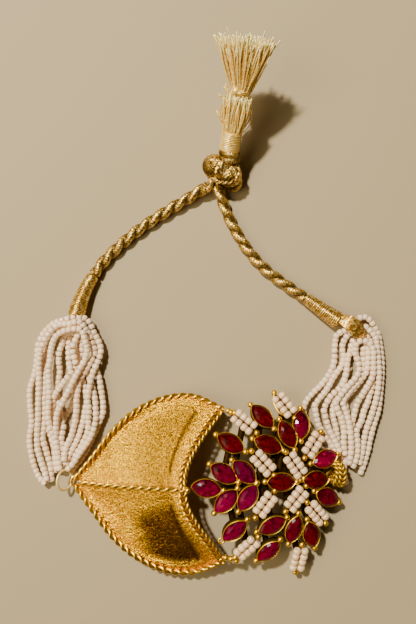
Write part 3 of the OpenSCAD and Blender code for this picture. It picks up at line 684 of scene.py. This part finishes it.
def mm(length):
    """A length property in metres, as millimetres."""
    return length / MM


# Shapes of the pieces

def leaf_plan(s, t, side):
    """Plan of half the leaf. s runs from its tip to its mouth and t from its middle to its outer edge. Lines
    fan out from tip to mouth between those two, bent to the mouth's curve."""
    outer, mouth = on_spline(LEAF_OUTER[side], s), on_spline(LEAF_MOUTH[side], t)
    tip, notch, horn = (np.array(p, float) for p in (LEAF_TIP, LEAF_NOTCH, LEAF_OUTER[side][-1]))
    t, s = t[..., None], s[..., None]
    plan = (1 - t) * (tip + (notch - tip) * s) + t * outer + s * (mouth - (1 - t) * notch - t * horn)
    return plan * (1, side)


def leaf_skin(dish_depth, flange):
    """Leaf's plate, in two halves that are dished inside a flange. The dish is a step at the flange and a
    bowl inside it, both by how far a point is from the mouth, the edge and the midrib."""
    rng = np.random.default_rng(7)
    first, lift, step_share = 0.06, -0.1, 0.42
    s = first + (1 - first) * (1 - (1 - np.linspace(0, 1, 90)) ** 1.25)[:, None]
    t = np.linspace(0, 1, 61)[None, :] ** 0.9
    s, t = s + 0 * t, t + 0 * s
    plan = np.concatenate([leaf_plan(s, t, -1)[:, :0:-1], leaf_plan(s, t, 1)], axis=1)
    s, t = (np.concatenate([share[:, :0:-1], share], axis=1) for share in (s, t))
    to_mouth, to_edge, to_rib = (1 - s) * 23, (1 - t) * (4 + 14 * s), t * (3 + 15 * s)
    step = (ease((to_mouth - flange) / 1.3) * ease((to_edge - flange * (1.05 * s - 0.2)) / 0.8)
            * ease((to_rib - 0.5) / 2.2) * ease((s - 0.1) * 6))
    bowl = ease(np.minimum(np.minimum(to_mouth, to_edge), to_rib) / 8)
    ripple = sum(0.025 * np.sin(plan @ rng.normal(0, 1.3, 2) + rng.uniform(0, 6)) for _ in range(7))
    sink = dish_depth * (step_share * step + (1 - step_share) * bowl * ease(s * 4)) + ripple * bowl
    top, under = (on_dome(plan[..., 0], plan[..., 1], lift - sink - depth) for depth in (0, LEAF_PLATE))
    plate = grid(np.concatenate([top, under[:, ::-1]], axis=1), caps=True, size=(24, 36))
    # Painted shade: the ridge value dips along the step into the dish, where the finish paints a brown crease
    crease = 1 - 3.9 * step * (1 - step) * ease((to_rib - 2) / 2) * ease((s - 0.5) / 0.3)
    plate.ridge = np.concatenate([crease, 0 * step + 1], axis=1).reshape(-1)
    # Painted shade: the tone darkens the upper half towards its mouth and the lower half's dish towards its
    # outer edge and mouth, and the finish turns it brown
    inner = ease((to_edge - 1.5) / 1.2) * ease((to_mouth - 1.2) / 1.5)
    lower = ease((t + 0.6 * s - 0.55) / 0.28) * ease((s - 0.49) / 0.18) * inner
    upper = 0.06 + 0.52 * ease((s - 0.45) / 0.3) * inner
    shade = np.where(plan[..., 1] < 0, lower, upper)
    plate.tone = np.concatenate([shade, 0 * shade], axis=1).reshape(-1)
    return plate


def leaf_wires(rope_radius):
    """Leaf's wires: a rope on each half's outer edge, two ropes of opposite lay along its mouth with a ring
    at the horn, a rope down the middle with a ball at the notch, and the eye at the tip."""
    ply, mouth_rope, rib_rope, ring, ring_wire = 0.52, 0.5, 0.66, 0.5, 0.27
    parts = []
    for side in (1, -1):
        outer, mouth = (smooth(edge[side][::-1], 0.2) * (1, side) for edge in (LEAF_OUTER, LEAF_MOUTH))
        across = unit(np.gradient(mouth, axis=0))[:, ::-1] * (-side, side)
        edge = on_dome(*outer[:-4].T, 0.1)
        parts.append(rope(edge, rope_radius, 3.5, hand=side, columns=24, strand=ply))
        for n in (-1, 1):
            edge = on_dome(*(mouth + across * n * 0.47).T, 0.28)
            parts.append(rope(edge, mouth_rope, 2.6, hand=n * side, columns=18, strand=0.53))
        parts.append(hoop(on_dome(*mouth[0], 0.35), ring, ring_wire, (0.1, 0.1 * side, 1.0)))
    u = np.linspace(LEAF_TIP[0] + 1.5, LEAF_NOTCH[0] + 0.2, 110)
    parts.append(rope(on_dome(u, 0 * u, 0.22), rib_rope, 3.8, columns=24, strand=ply))
    parts.append(ball(0.64).copies([on_dome(LEAF_NOTCH[0] + 1.05, 0, 0.45)]))
    parts.append(hoop(*EYE))
    return Skin.joined(parts)


# A marquise set in by a step is shorter by this many steps, and narrower by two
TIP_INSET = 2.6


def marquise(length, width, z, steps):
    """Outline of a marquise at the height, clockwise from its left tip: two arcs of one circle."""
    big = (length ** 2 + width ** 2) / (4 * width)
    half = np.arcsin(length / 2 / big)
    angle = half * (2 * np.arange(steps) / steps - 1)
    arc = np.stack([big * np.sin(angle), big * np.cos(angle) - big + width / 2, 0 * angle], axis=1)
    return np.concatenate([arc, -arc]) + (0, 0, z)


def bezel_skin(length, width, height, wall):
    """Bezel: a cup with a thin rounded rim, as rings of the marquise. A ring has its inset, its height and
    its ridge value."""
    steps = 14
    # Painted shade: low ridge values on the cup's outer wall and down its inner wall paint it dark there, and
    # only the rim is bright
    rings = [(0.0, -0.5, 0.1), (0.0, -0.2, 0.1), (-0.04, height - 0.75, 0.2), (-0.02, height - 0.58, 0.7),
             (0.3 * wall, height - 0.5, 1), (0.8 * wall, height - 0.56, 1), (wall, height - 0.72, 0.6),
             (wall, 0.15, 0.1)]
    points = [marquise(length - TIP_INSET * inset, width - 2 * inset, z, steps) for inset, z, _ in rings]
    ridge = np.repeat(np.array(rings)[:, 2:], 2 * steps, axis=1)
    return grid(np.stack(points), caps=True, ridge=ridge)


def stone_skin(length, width):
    """Cut stone: rings of the marquise from the keel through the girdle to a low faceted crown. A ring has
    its share of the girdle's size and its height."""
    rings = [(0.35, 0.25), (0.98, 0.85), (1.0, 1.0), (0.84, 1.32), (0.56, 1.56), (0.26, 1.66)]
    return grid(np.stack([marquise(length * share, width * share, z, 8) for share, z in rings]), caps=True)


def split_faces(skin):
    """The skin with four points of its own for each face, so that a value can stop at a facet's edge."""
    index = skin.faces.reshape(-1)
    return Skin(skin.points[index], np.arange(len(index)).reshape(-1, 4), skin.uv,
                skin.ridge[index], skin.tone[index])


def frame_skin(bezel, wall, ball_radius, panel_pitch):
    """Rosette frame: bezels, solder balls, back wires and the rope ring."""
    cup = bezel_skin(*bezel, wall)
    reach, panel_reach = bezel[0] / 2 + 0.3, 2 * panel_pitch + ball_radius + 0.1
    ball_lift, wire_lift, spine_lift, spoke_lift, painted_shade_ridge = 0.4, -0.35, -1.2, -1.0, 0.05
    parts, dots = [], []
    for n, (u, v, turn, _, _) in enumerate(STONES):
        place, axes = seat(u, v, turn)
        parts.append(cup.copies([place], axes[None]))
        ends = [end for end in (-1, 1) if end != BARE_ENDS.get(n)]
        dots += [seated((end * reach, 0, ball_lift), u, v, turn) for end in ends]
    for u, v, turn in PANELS:
        ends = [(end * panel_reach, 0) for end in (-1, 1)]
        dots += [seated((*end, ball_lift), u, v, turn) for end in ends]
        # Painted shade: each panel's back wire has a low ridge value, so it is painted dark
        parts.append(tube(seated([(*end, wire_lift) for end in ends], u, v, turn), 0.4, ridge=0.15))
    side_wire = [(-panel_reach, 0, 0.7), (-1.9, -1.5, 0.6), (0.4, -2.0, 0.7), (1.8, -1.5, 0.6)]
    parts.append(tube(smooth(seated(side_wire, *PANELS[WIRED_PANEL]), 0.3), 0.2))
    eye = seated((reach + 0.1, 0, ball_lift), *STONES[EYED_STONE][:3])
    parts.append(hoop(eye, 0.55, 0.22, (0.1, 0.0, 1.0)))
    dots += [on_dome(u, v, 0.45) for u, v in HORN_BALLS]
    parts.append(ball(ball_radius).copies(dots))

    def spine(u):
        """How far along v the long back wire lies."""
        return 0.7 + 0.03 * u

    # Painted shade: the spine and spokes are thick and take the dark hollow colour all along, standing in for
    # the shade under the rosette; the wire to the rope ring is darkened less
    u = np.arange(1, 25.5, 2)
    parts.append(tube(on_dome(u, spine(u), spine_lift), 0.8, ridge=painted_shade_ridge))
    for u, v, *_ in STONES + PANELS:
        start = u - 0.2 * abs(v)
        if abs(v - spine(u)) > 1.2:
            spoke = [on_dome(start, spine(start), spine_lift), on_dome(u, v, spoke_lift)]
            parts.append(tube(spoke, 0.7, ridge=painted_shade_ridge))
    parts.append(tube([on_dome(25, 1.45, -0.8), on_dome(27.5, 4.1, -0.9)], 0.4, ridge=0.3))
    lean = np.radians(ROPE_RING["lean"])
    axis = np.array([np.cos(lean), 0, -np.sin(lean)])
    for shift, radius in ROPE_RING["coils"]:
        ring = hoop_line(ROPE_RING["at"] + shift * axis, axis, radius, 150)
        hand = 1 if shift else -1
        coil = rope(ring, ROPE_RING["rope"], ROPE_RING["lay"], hand=hand, columns=14, closed=True)
        # Painted shade: a lower ridge value spreads the dark hollow colour over more of the rope ring
        coil.ridge = 0.72 * coil.ridge
        parts.append(coil)
    return Skin.joined(parts)


def settled(strands, diameter):
    """Bead middles of all the strands, moved apart where beads of different strands overlap. Each pair moves
    by its overlap and a nudge up or down, and a bead moves by the mean of the moves within reach of it along
    its strand."""
    rounds, reach, shares, nudge, floor_gap = 40, 6, (0.3, 0.3, 0.25), 0.02, 0.01
    owner = np.concatenate([np.full(len(s), n) for n, s in enumerate(strands)])
    points = np.concatenate(strands)
    ends = np.cumsum([len(s) for s in strands])[:-1]
    other = owner[:, None] != owner[None, :]
    above = np.sign(points[:, None, 2] - points[None, :, 2] + 1e-9)
    for _ in range(rounds):
        apart = points[:, None] - points[None, :]
        far = np.linalg.norm(apart, axis=2) + 1e-6
        push = np.where(other & (far < diameter), (diameter - far) / far, 0)[..., None] * apart
        push[..., 2] += np.where(push[..., 2] != 0, above, 0) * nudge
        even = []
        for part in np.split(push.sum(axis=1) * shares, ends):
            total = np.cumsum(np.pad(part, ((reach + 1, reach), (0, 0)), "edge"), axis=0)
            even.append((total[2 * reach + 1:] - total[:-2 * reach - 1]) / (2 * reach + 1))
        points = points + np.concatenate(even)
        points[:, 2] = np.maximum(points[:, 2], diameter / 2 + floor_gap)
    return np.split(points, ends)


def strand_skin(routes, diameter, pitch):
    """Strands of seed beads along their routes, a bead every pitch, turned to face along the strand. Over the
    bundle's length they rise by a sine."""
    arch, (low, length) = 0.8, BUNDLE
    lines = [smooth(route, pitch) for route in routes]
    for line in lines:
        line[:, 2] += arch * np.sin(np.pi * np.clip((line[:, 1] - low) / length, 0, 1))
    bead = seed_bead(diameter, pitch * 1.06)
    rng = np.random.default_rng(11)
    parts = []
    for line in settled(lines, 0.96 * diameter):
        tangent, side, normal = along_line(line)
        axes = np.stack([normal, side, tangent], axis=2) * rng.uniform(0.95, 1.03, (len(line), 1, 1))
        parts.append(bead.copies(line, axes, rng.uniform(0, 1, len(line))))
    return Skin.joined(parts)


def panel_skin(u, v, turn, diameter, pitch, seed):
    """Panel: two rows of four seed beads that lie along the row, each a little off its place."""
    rng = np.random.default_rng(seed)
    row, lift, play, count = 0.88, 0.75, 0.05, 8
    bead = seed_bead(diameter, pitch * 0.98)
    places = [((n - 1.5) * pitch + rng.uniform(-play, play), side * row, lift + rng.uniform(-play, play))
              for side in (-1, 1) for n in range(count // 2)]
    x, y, z = seat(u, v, turn)[1].T
    axes = np.stack([y, z, x], axis=1)[None] * rng.uniform(0.96, 1.03, (count, 1, 1))
    return bead.copies(seated(places, u, v, turn), axes, rng.uniform(0, 1, count))


def wound_skin(path, big, small, thread):
    """Wound end: a taper with rounded ends, wound with thread, whose ridge is a sine of the distance along
    less the turn around."""
    line = smooth(path, thread / 5)
    s = lengths(line)[:, None]
    angle = np.linspace(0, 2 * np.pi, 48, endpoint=False)[None, :]
    from_start, from_end = np.clip(s / 0.9, 0.08, 1), np.clip((s[-1] - s) / 0.5, 0.3, 1)
    radius = small + (big - small) * np.clip(1 - s / s[-1], 0, 1) ** 1.3
    radius = radius * np.sqrt(1 - (1 - from_start) ** 2) * np.sqrt(1 - (1 - from_end) ** 2)
    wave = np.abs(np.sin(np.pi * (s / thread - angle / (2 * np.pi))))
    return around(line, radius - 0.12 + 0.16 * wave, ridge=0.05 + 0.95 * wave)


def thread_bunch(lines, radius):
    """Fine round threads along the lines."""
    return Skin.joined([tube(smooth(line, 0.35), radius, 6) for line in lines])


def tassel_skin(threads):
    """Tassel: a wound neck, a brush of cut threads that ends round the tied waist, and the fan past it."""
    rng = np.random.default_rng(3)
    neck, tie, tip = np.array(TASSEL_NECK), np.array(TASSEL_TIE), np.array(TASSEL_TIP)
    ahead = unit(tip - tie)
    across = unit(np.cross(ahead, (0, 0, 1)))
    rise = np.cross(across, ahead)
    winding, sides = 0.34, 5
    parts = [wound_skin([neck[0] + (-0.2, -1.0, -0.5), *neck], 2.05, 2.1, winding)]

    def brush(count, start, end, near, far, flat, radius, ragged, curl):
        """Threads between two discs: each keeps its place in them, ends short or long, and bends a little."""
        angle = rng.uniform(0, 2 * np.pi, count)
        out = np.sqrt(rng.uniform(0.02, 1, count))[:, None]
        way = out * (np.cos(angle)[:, None] * across + flat * np.sin(angle)[:, None] * rise)
        starts = start + near * way
        run = (end + far * way - starts) * (1 + rng.normal(0, ragged, count))[:, None]
        run = run + rng.normal(0, 0.4, (count, 3)) * (1, 0.2, 1)
        bend = far * curl * way + rng.normal(0, 0.42, (count, 3))
        lines = [starts, starts + 0.35 * run + 0.8 * bend, starts + 0.7 * run + bend, starts + run]
        for line in np.stack(lines, axis=1):
            thread = tube(smooth(line, 1.0), radius * rng.uniform(0.7, 1.4), sides)
            # Painted highlight: each thread's tone rises towards its end, where the finish paints it with the
            # glint colour
            tone = 0.14 + 0.86 * ease(np.linspace(-1.9, 1, len(thread.points) // sides))
            thread.tone = np.repeat(tone, sides) * rng.uniform(0.2, 1)
            parts.append(thread)

    brush(threads, tie - 0.8 * ahead, tip + 0.1 * ahead - 0.35 * across,
          near=1.45, far=5.7, flat=0.6, radius=0.12, ragged=0.07, curl=-0.03)
    brush(int(threads * 0.75), neck[2] - 0.5 * ahead, tie - 0.9 * ahead - 0.5 * across,
          near=2.0, far=2.45, flat=0.85, radius=0.13, ragged=0.05, curl=0.06)
    for line in TASSEL_STRAYS:
        for _ in range(4):
            stray = np.array(line) + rng.normal(0, 0.13, (len(line), 3))
            parts.append(tube(smooth(stray, 0.9), 0.15, sides))
    parts.append(wound_skin([tie - 0.5 * ahead, tie + 0.9 * ahead], 1.75, 1.7, winding))
    parts.append(ball(0.85).copies([tie + 0.5 * ahead - 1.1 * across + 0.9 * rise]))
    return Skin.joined(parts)


def knot_skin():
    """Knot: wound turns and bands of cord about a core, and the two cords' ends that run into it. The cord's
    lay is given in its radii."""
    lay = 5
    parts = [rope(hoop_line(middle, axis, turn, 130), radius, lay * radius, plies=1, columns=56, closed=True,
                  strand=0.97, threads=11, cut=0.16) for middle, turn, radius, axis in KNOT_TURNS]
    parts += [rope(smooth(band, 0.15), radius, lay * radius, columns=28, threads=5, cut=0.06)
              for band, radius in KNOT_BANDS]
    parts.append(ball(2.5, 12, 20).copies([KNOT_CORE]))
    for end, before in (LEFT_CORD[:-3:-1], RIGHT_CORD[:2]):
        end, before = np.array(end), np.array(before)
        line = smooth([end, end + 1.2 * unit(end - before), KNOT_CORE], 0.2)
        parts.append(rope(line, 1.25, 7.2, columns=36, threads=7, cut=0.07))
    return Skin.joined(parts)


# Settings

def length_property(name, description, default_mm, low, high):
    """A length that a user can change, kept in metres."""
    return bpy.props.FloatProperty(name=name, description=description, default=default_mm * MM, min=low * MM,
                                   max=high * MM, precision=5, subtype="DISTANCE", unit="LENGTH")


def colour_property(name, description, default):
    """A colour that a user can change."""
    return bpy.props.FloatVectorProperty(name=name, description=description, default=default,
                                         min=0.0, max=1.0, size=3, subtype="COLOR")


class OrnamentSettings(bpy.types.PropertyGroup):
    """Sizes and colours of the leaf and the rosette."""
    rope_radius: length_property("Rope radius", "Radius of the rope wire on the leaf's rim", 0.68, 0.5, 0.8)
    dish_depth: length_property("Dish depth", "Depth of the dish in each half of the leaf", 1.1, 0.0, 1.6)
    flange: length_property("Flange", "Width of the flat flange along the leaf's edges", 2.0, 1.5, 3.0)
    bezel_length: length_property("Bezel length", "Length of a marquise bezel", 6.4, 6.0, 6.8)
    bezel_width: length_property("Bezel width", "Width of a marquise bezel", 3.9, 3.2, 4.0)
    bezel_height: length_property("Bezel height", "Height of a bezel", 1.5, 1.2, 2.0)
    bezel_wall: length_property("Bezel wall", "Thickness of a bezel's wall", 0.17, 0.12, 0.5)
    ball_radius: length_property("Ball radius", "Radius of the solder balls", 0.64, 0.5, 0.65)
    panel_bead: length_property("Panel bead", "Diameter of a seed bead in a panel", 1.66, 1.5, 1.8)
    panel_pitch: length_property("Panel pitch", "Distance between the beads of a panel", 1.33, 1.3, 1.4)
    gold: colour_property("Gold", "Colour of the gold", (0.97, 0.5, 0.012))
    ruby: colour_property("Ruby", "Colour of a stone where light comes through it", (0.4, 0.003, 0.004))
    pink: colour_property("Pink ruby", "The same, on the pinker stones", (0.55, 0.0, 0.11))


class StrandSettings(bpy.types.PropertyGroup):
    """Sizes and colours of the seed-bead strands."""
    bead: length_property("Bead", "Diameter of a seed bead", 1.42, 1.2, 1.6)
    pitch: length_property("Pitch", "Distance between beads on a strand", 1.1, 1.0, 1.4)
    cream: colour_property("Cream", "Colour of the beads", (0.94, 0.74, 0.52))
    # Painted shade: the honey colour is painted on the beads towards their holes, where beads meet
    honey: colour_property("Honey", "Colour of the beads towards their holes", (0.79, 0.6, 0.39))


class ThreadSettings(bpy.types.PropertyGroup):
    """Sizes and colours of the cords, the wrapped ends, the knot and the tassel."""
    cord: length_property("Cord", "Diameter of the twisted cord", 2.5, 2.2, 2.8)
    wrap: length_property("Wrapped end", "Diameter of a wrapped end at its bead side", 3.8, 3.0, 4.0)
    gold: colour_property("Thread", "Colour of the gold thread", (0.92, 0.58, 0.08))
    # Painted shade: this colour is painted into the hollows between threads
    shade: colour_property("Thread shade", "Colour of the hollows between threads", (0.13, 0.07, 0.008))
    tassel_threads: bpy.props.IntProperty(
        name="Tassel threads", description="Number of threads in the tassel's fan",
        default=400, min=60, max=500)


class StageSettings(bpy.types.PropertyGroup):
    """Floor and light."""
    floor: colour_property("Floor", "Colour of the floor", (0.39, 0.31, 0.18))
    key: bpy.props.FloatProperty(name="Key light", description="Strength of the key light in watts",
                                 default=7.8, min=0.5, max=20.0, unit="POWER")
    sky: bpy.props.FloatProperty(name="Sky", description="Strength of the light from all round",
                                 default=0.05, min=0.0, max=2.0)


SETTINGS = {"bracelet_ornament": OrnamentSettings, "bracelet_strands": StrandSettings,
            "bracelet_threads": ThreadSettings, "bracelet_stage": StageSettings}


# Operators

class SetStage(bpy.types.Operator):
    """Sets the floor, the light and the camera"""
    bl_idname = "bracelet.set_stage"
    bl_label = "Stage"

    def execute(self, context):
        settings = context.scene.bracelet_stage
        camera = bpy.data.objects.new("camera", bpy.data.cameras.new("camera"))
        camera.location = [c * MM for c in CAMERA["place"]]
        camera.data.sensor_width, camera.data.lens = CAMERA["sensor"], CAMERA["lens"]
        camera.data.shift_y = CAMERA["shift"]
        camera.data.clip_start, camera.data.clip_end = 0.001, 10
        context.scene.collection.objects.link(camera)
        context.scene.camera = camera
        mesh = bpy.data.meshes.new("floor")
        corners = [(x * FLOOR_REACH, y * FLOOR_REACH, 0) for x, y in ((-1, -1), (1, -1), (1, 1), (-1, 1))]
        mesh.from_pydata(corners, [], [(0, 1, 2, 3)])
        finish = Finish("floor", {"Roughness": 0.75, "Base Color": tuple(settings.floor)})
        mesh.materials.append(finish.material)
        floor = bpy.data.objects.new("floor", mesh)
        context.scene.collection.objects.link(floor)
        self.add_light(context, "key", settings.key, *KEY_LIGHT)
        self.add_light(context, "soft_box", SOFT_BOX_POWER, *SOFT_BOX)
        world = bpy.data.worlds.new("sky")
        world.use_nodes = True
        background = next(n for n in world.node_tree.nodes if n.type == "BACKGROUND")
        background.inputs["Color"].default_value = SKY_COLOUR
        background.inputs["Strength"].default_value = settings.sky
        context.scene.world = world
        return {"FINISHED"}

    @staticmethod
    def add_light(context, name, power, place, size, colour):
        """A round area light that faces the middle of the bracelet."""
        data = bpy.data.lights.new(name, "AREA")
        data.shape, data.size, data.energy, data.color = "DISK", size, power, colour
        light = bpy.data.objects.new(name, data)
        light.location = place
        back = unit(np.array(place))
        light.rotation_euler = (np.arccos(back[2]), 0, np.arctan2(back[1], back[0]) + np.pi / 2)
        context.scene.collection.objects.link(light)


class AddCords(bpy.types.Operator):
    """Adds the two twisted cords"""
    bl_idname = "bracelet.add_cords"
    bl_label = "Cords"

    def execute(self, context):
        settings = context.scene.bracelet_threads
        radius = mm(settings.cord) / 2
        material = thread_finish("gold cord", settings.gold, settings.shade, hollow=0.85)
        for side, route, exit_point in (("left", LEFT_CORD, LEFT_CORD[0]),
                                        ("right", RIGHT_CORD, RIGHT_CORD[-1])):
            line = smooth(route, 0.16)
            skin = rope(line, radius, 6.6, columns=52, strand=0.7, threads=9, cut=0.12)
            piece = add_piece(f"cord.{side}", skin, material, "gold_cord", f"{side}_cord")
        return {"FINISHED"}


class AddWraps(bpy.types.Operator):
    """Adds the wrapped ends of the cords, with their loops of thread"""
    bl_idname = "bracelet.add_wraps"
    bl_label = "Wrapped ends"

    def execute(self, context):
        settings = context.scene.bracelet_threads
        material = thread_finish("gold thread", settings.gold, settings.shade, dark_specks_and_painted_shade=(0.48, 0.38, 0.26),
                                 glitter_mm=0.5, glitter_height=0.06)
        swell, winding, thread = 0.06, 0.42, 0.17
        big, small = mm(settings.wrap) / 2 + swell, mm(settings.cord) / 2 + swell
        shifts = {"left": np.random.default_rng(5).uniform(-0.5, 0.5, 9), "right": np.linspace(-1.1, 1.1, 11)}
        for side, path in (("left", LEFT_WRAP), ("right", RIGHT_WRAP)):
            middle, ways = np.array(EYE_THREADS[side], float)
            bunch = thread_bunch([middle + shift * ways for shift in shifts[side]], thread)
            skin = Skin.joined([wound_skin(path, big, small, winding), bunch])
            add_piece(f"wrapped_end.{side}", skin, material, "gold_thread", f"{side}_wrap")
        return {"FINISHED"}


class AddKnotAndTassel(bpy.types.Operator):
    """Adds the knot and the tassel"""
    bl_idname = "bracelet.add_knot_and_tassel"
    bl_label = "Knot and tassel"

    def execute(self, context):
        settings = context.scene.bracelet_threads
        knot = thread_finish("knot cord", settings.gold, settings.shade)
        add_piece("knot", knot_skin(), knot, "gold_cord", "knot")
        pale = tinted(settings.gold, 1.08, 1.14, 1.3)
        threads = thread_finish("tassel thread", pale, settings.shade, dark_specks_and_painted_shade=(0.93, 0.84, 0.68), metal=0.35,
                                roughness=0.42, glitter_height=0.12)
        add_piece("tassel", tassel_skin(settings.tassel_threads), threads, "gold_thread", "tassel")
        return {"FINISHED"}


class AddStrands(bpy.types.Operator):
    """Adds the strands of seed beads"""
    bl_idname = "bracelet.add_strands"
    bl_label = "Bead strands"

    def execute(self, context):
        settings = context.scene.bracelet_strands
        material = bead_finish(settings.cream, settings.honey)
        for side, routes in (("left", LEFT_STRANDS), ("right", RIGHT_STRANDS)):
            skin = strand_skin(routes, mm(settings.bead), mm(settings.pitch))
            add_piece(f"bead_strands.{side}", skin, material, "seed_beads", f"{side}_bead_strands")
        return {"FINISHED"}


class AddLeaf(bpy.types.Operator):
    """Adds the gold leaf"""
    bl_idname = "bracelet.add_leaf"
    bl_label = "Leaf"

    def execute(self, context):
        settings = context.scene.bracelet_ornament
        plate = leaf_skin(mm(settings.dish_depth), mm(settings.flange))
        add_piece("leaf", plate, leaf_gold_finish(settings.gold), "leaf_gold", "leaf")
        bright = gold_finish("leaf wire", tinted(settings.gold, 1.05, 1.27, 5.0), 0.24, hollow=0.7)
        add_piece("leaf.wires", leaf_wires(mm(settings.rope_radius)), bright, "leaf_gold", "leaf")
        return {"FINISHED"}


class AddFrame(bpy.types.Operator):
    """Adds the rosette's bezels, balls and wires"""
    bl_idname = "bracelet.add_frame"
    bl_label = "Rosette frame"

    def execute(self, context):
        settings = context.scene.bracelet_ornament
        bezel = (mm(settings.bezel_length), mm(settings.bezel_width), mm(settings.bezel_height))
        skin = frame_skin(bezel, mm(settings.bezel_wall), mm(settings.ball_radius), mm(settings.panel_pitch))
        material = gold_finish("setting gold", tinted(settings.gold, 1.04, 1.3, 3.0), 0.33)
        add_piece("rosette_frame", skin, material, "setting_gold", "rosette_frame", crease=50)
        return {"FINISHED"}


class AddRubies(bpy.types.Operator):
    """Adds the ruby stones"""
    bl_idname = "bracelet.add_rubies"
    bl_label = "Rubies"

    def execute(self, context):
        settings = context.scene.bracelet_ornament
        wall, end_gap, side_gap = mm(settings.bezel_wall), 0.12, 0.08
        length = mm(settings.bezel_length) - TIP_INSET * wall - end_gap
        width = mm(settings.bezel_width) - 2 * wall - side_gap
        stone = split_faces(stone_skin(length, width))
        material = ruby_finish(settings.ruby, settings.pink)
        middle = stone.points.reshape(-1, 4, 3).mean(axis=1)
        for n, (u, v, turn, bright, pink) in enumerate(STONES, 1):
            rng, count = np.random.default_rng(100 + n), len(middle)
            place, axes = seat(u, v, turn)
            skin = stone.copies([place], axes[None])
            # Painted light: facets towards one side get a painted glow, and a few at random get painted
            # sparkles
            painted_glow = (middle @ axes.T)[:, :2] @ (0.1, -0.3)
            painted_sparkle = (rng.uniform(0, 1, count) < 0.12 * bright + 0.04) * rng.uniform(0.2, 0.7, count)
            tone = bright * (0.5 + 0.6 * painted_glow + painted_sparkle) + rng.uniform(-0.13, 0.13, count)
            skin.tone = np.repeat(np.clip(tone, 0, 1), 4)
            tint = np.repeat(np.clip(pink + rng.uniform(-0.2, 0.2, count), 0, 1), 4)
            add_piece(f"ruby.{n:02d}", skin, material, "ruby", f"ruby_{n:02d}", flat=True, tint=tint)
        return {"FINISHED"}


class AddPanels(bpy.types.Operator):
    """Adds the panels of seed beads between the stones"""
    bl_idname = "bracelet.add_panels"
    bl_label = "Bead panels"

    def execute(self, context):
        settings, colours = context.scene.bracelet_ornament, context.scene.bracelet_strands
        material = bead_finish(tinted(colours.cream, 0.96, 0.87, 0.74), colours.honey)
        for n, (u, v, turn) in enumerate(PANELS, 1):
            skin = panel_skin(u, v, turn, mm(settings.panel_bead), mm(settings.panel_pitch), 200 + n)
            add_piece(f"bead_panel.{n:02d}", skin, material, "seed_beads", f"bead_panel_{n:02d}")
        return {"FINISHED"}


class AddJumpRing(bpy.types.Operator):
    """Adds the plain jump ring"""
    bl_idname = "bracelet.add_jump_ring"
    bl_label = "Jump ring"

    def execute(self, context):
        settings = context.scene.bracelet_ornament
        material = gold_finish("ring gold", tinted(settings.gold, 1.03, 1.65, 30.0), 0.4, metal=0.5)
        add_piece("jump_ring", hoop(*JUMP_RING), material, "ring_gold", "jump_ring")
        return {"FINISHED"}


class BraceletPanel(bpy.types.Panel):
    """Lists the bracelet's settings and the steps that build it"""
    bl_idname = "VIEW3D_PT_bracelet"
    bl_label = "Ruby Bracelet"
    bl_space_type = "VIEW_3D"
    bl_region_type = "UI"
    bl_category = "Bracelet"

    def draw(self, context):
        for group, kind in SETTINGS.items():
            box = self.layout.box()
            box.label(text=kind.__doc__)
            for key in kind.__annotations__:
                box.prop(getattr(context.scene, group), key)
        for step in STEPS:
            self.layout.operator(step.bl_idname)


STEPS = [SetStage, AddCords, AddWraps, AddKnotAndTassel, AddStrands, AddLeaf, AddFrame, AddRubies, AddPanels,
         AddJumpRing]
CLASSES = [*SETTINGS.values(), *STEPS, BraceletPanel]


def register():
    for kind in CLASSES:
        bpy.utils.register_class(kind)
    for name, kind in SETTINGS.items():
        setattr(bpy.types.Scene, name, bpy.props.PointerProperty(type=kind))


def unregister():
    for name in SETTINGS:
        delattr(bpy.types.Scene, name)
    for kind in reversed(CLASSES):
        bpy.utils.unregister_class(kind)


def main():
    """Builds everything in order."""
    register()
    for step in STEPS:
        group, name = step.bl_idname.split(".")
        getattr(getattr(bpy.ops, group), name)()


if __name__ == "__main__":
    main()
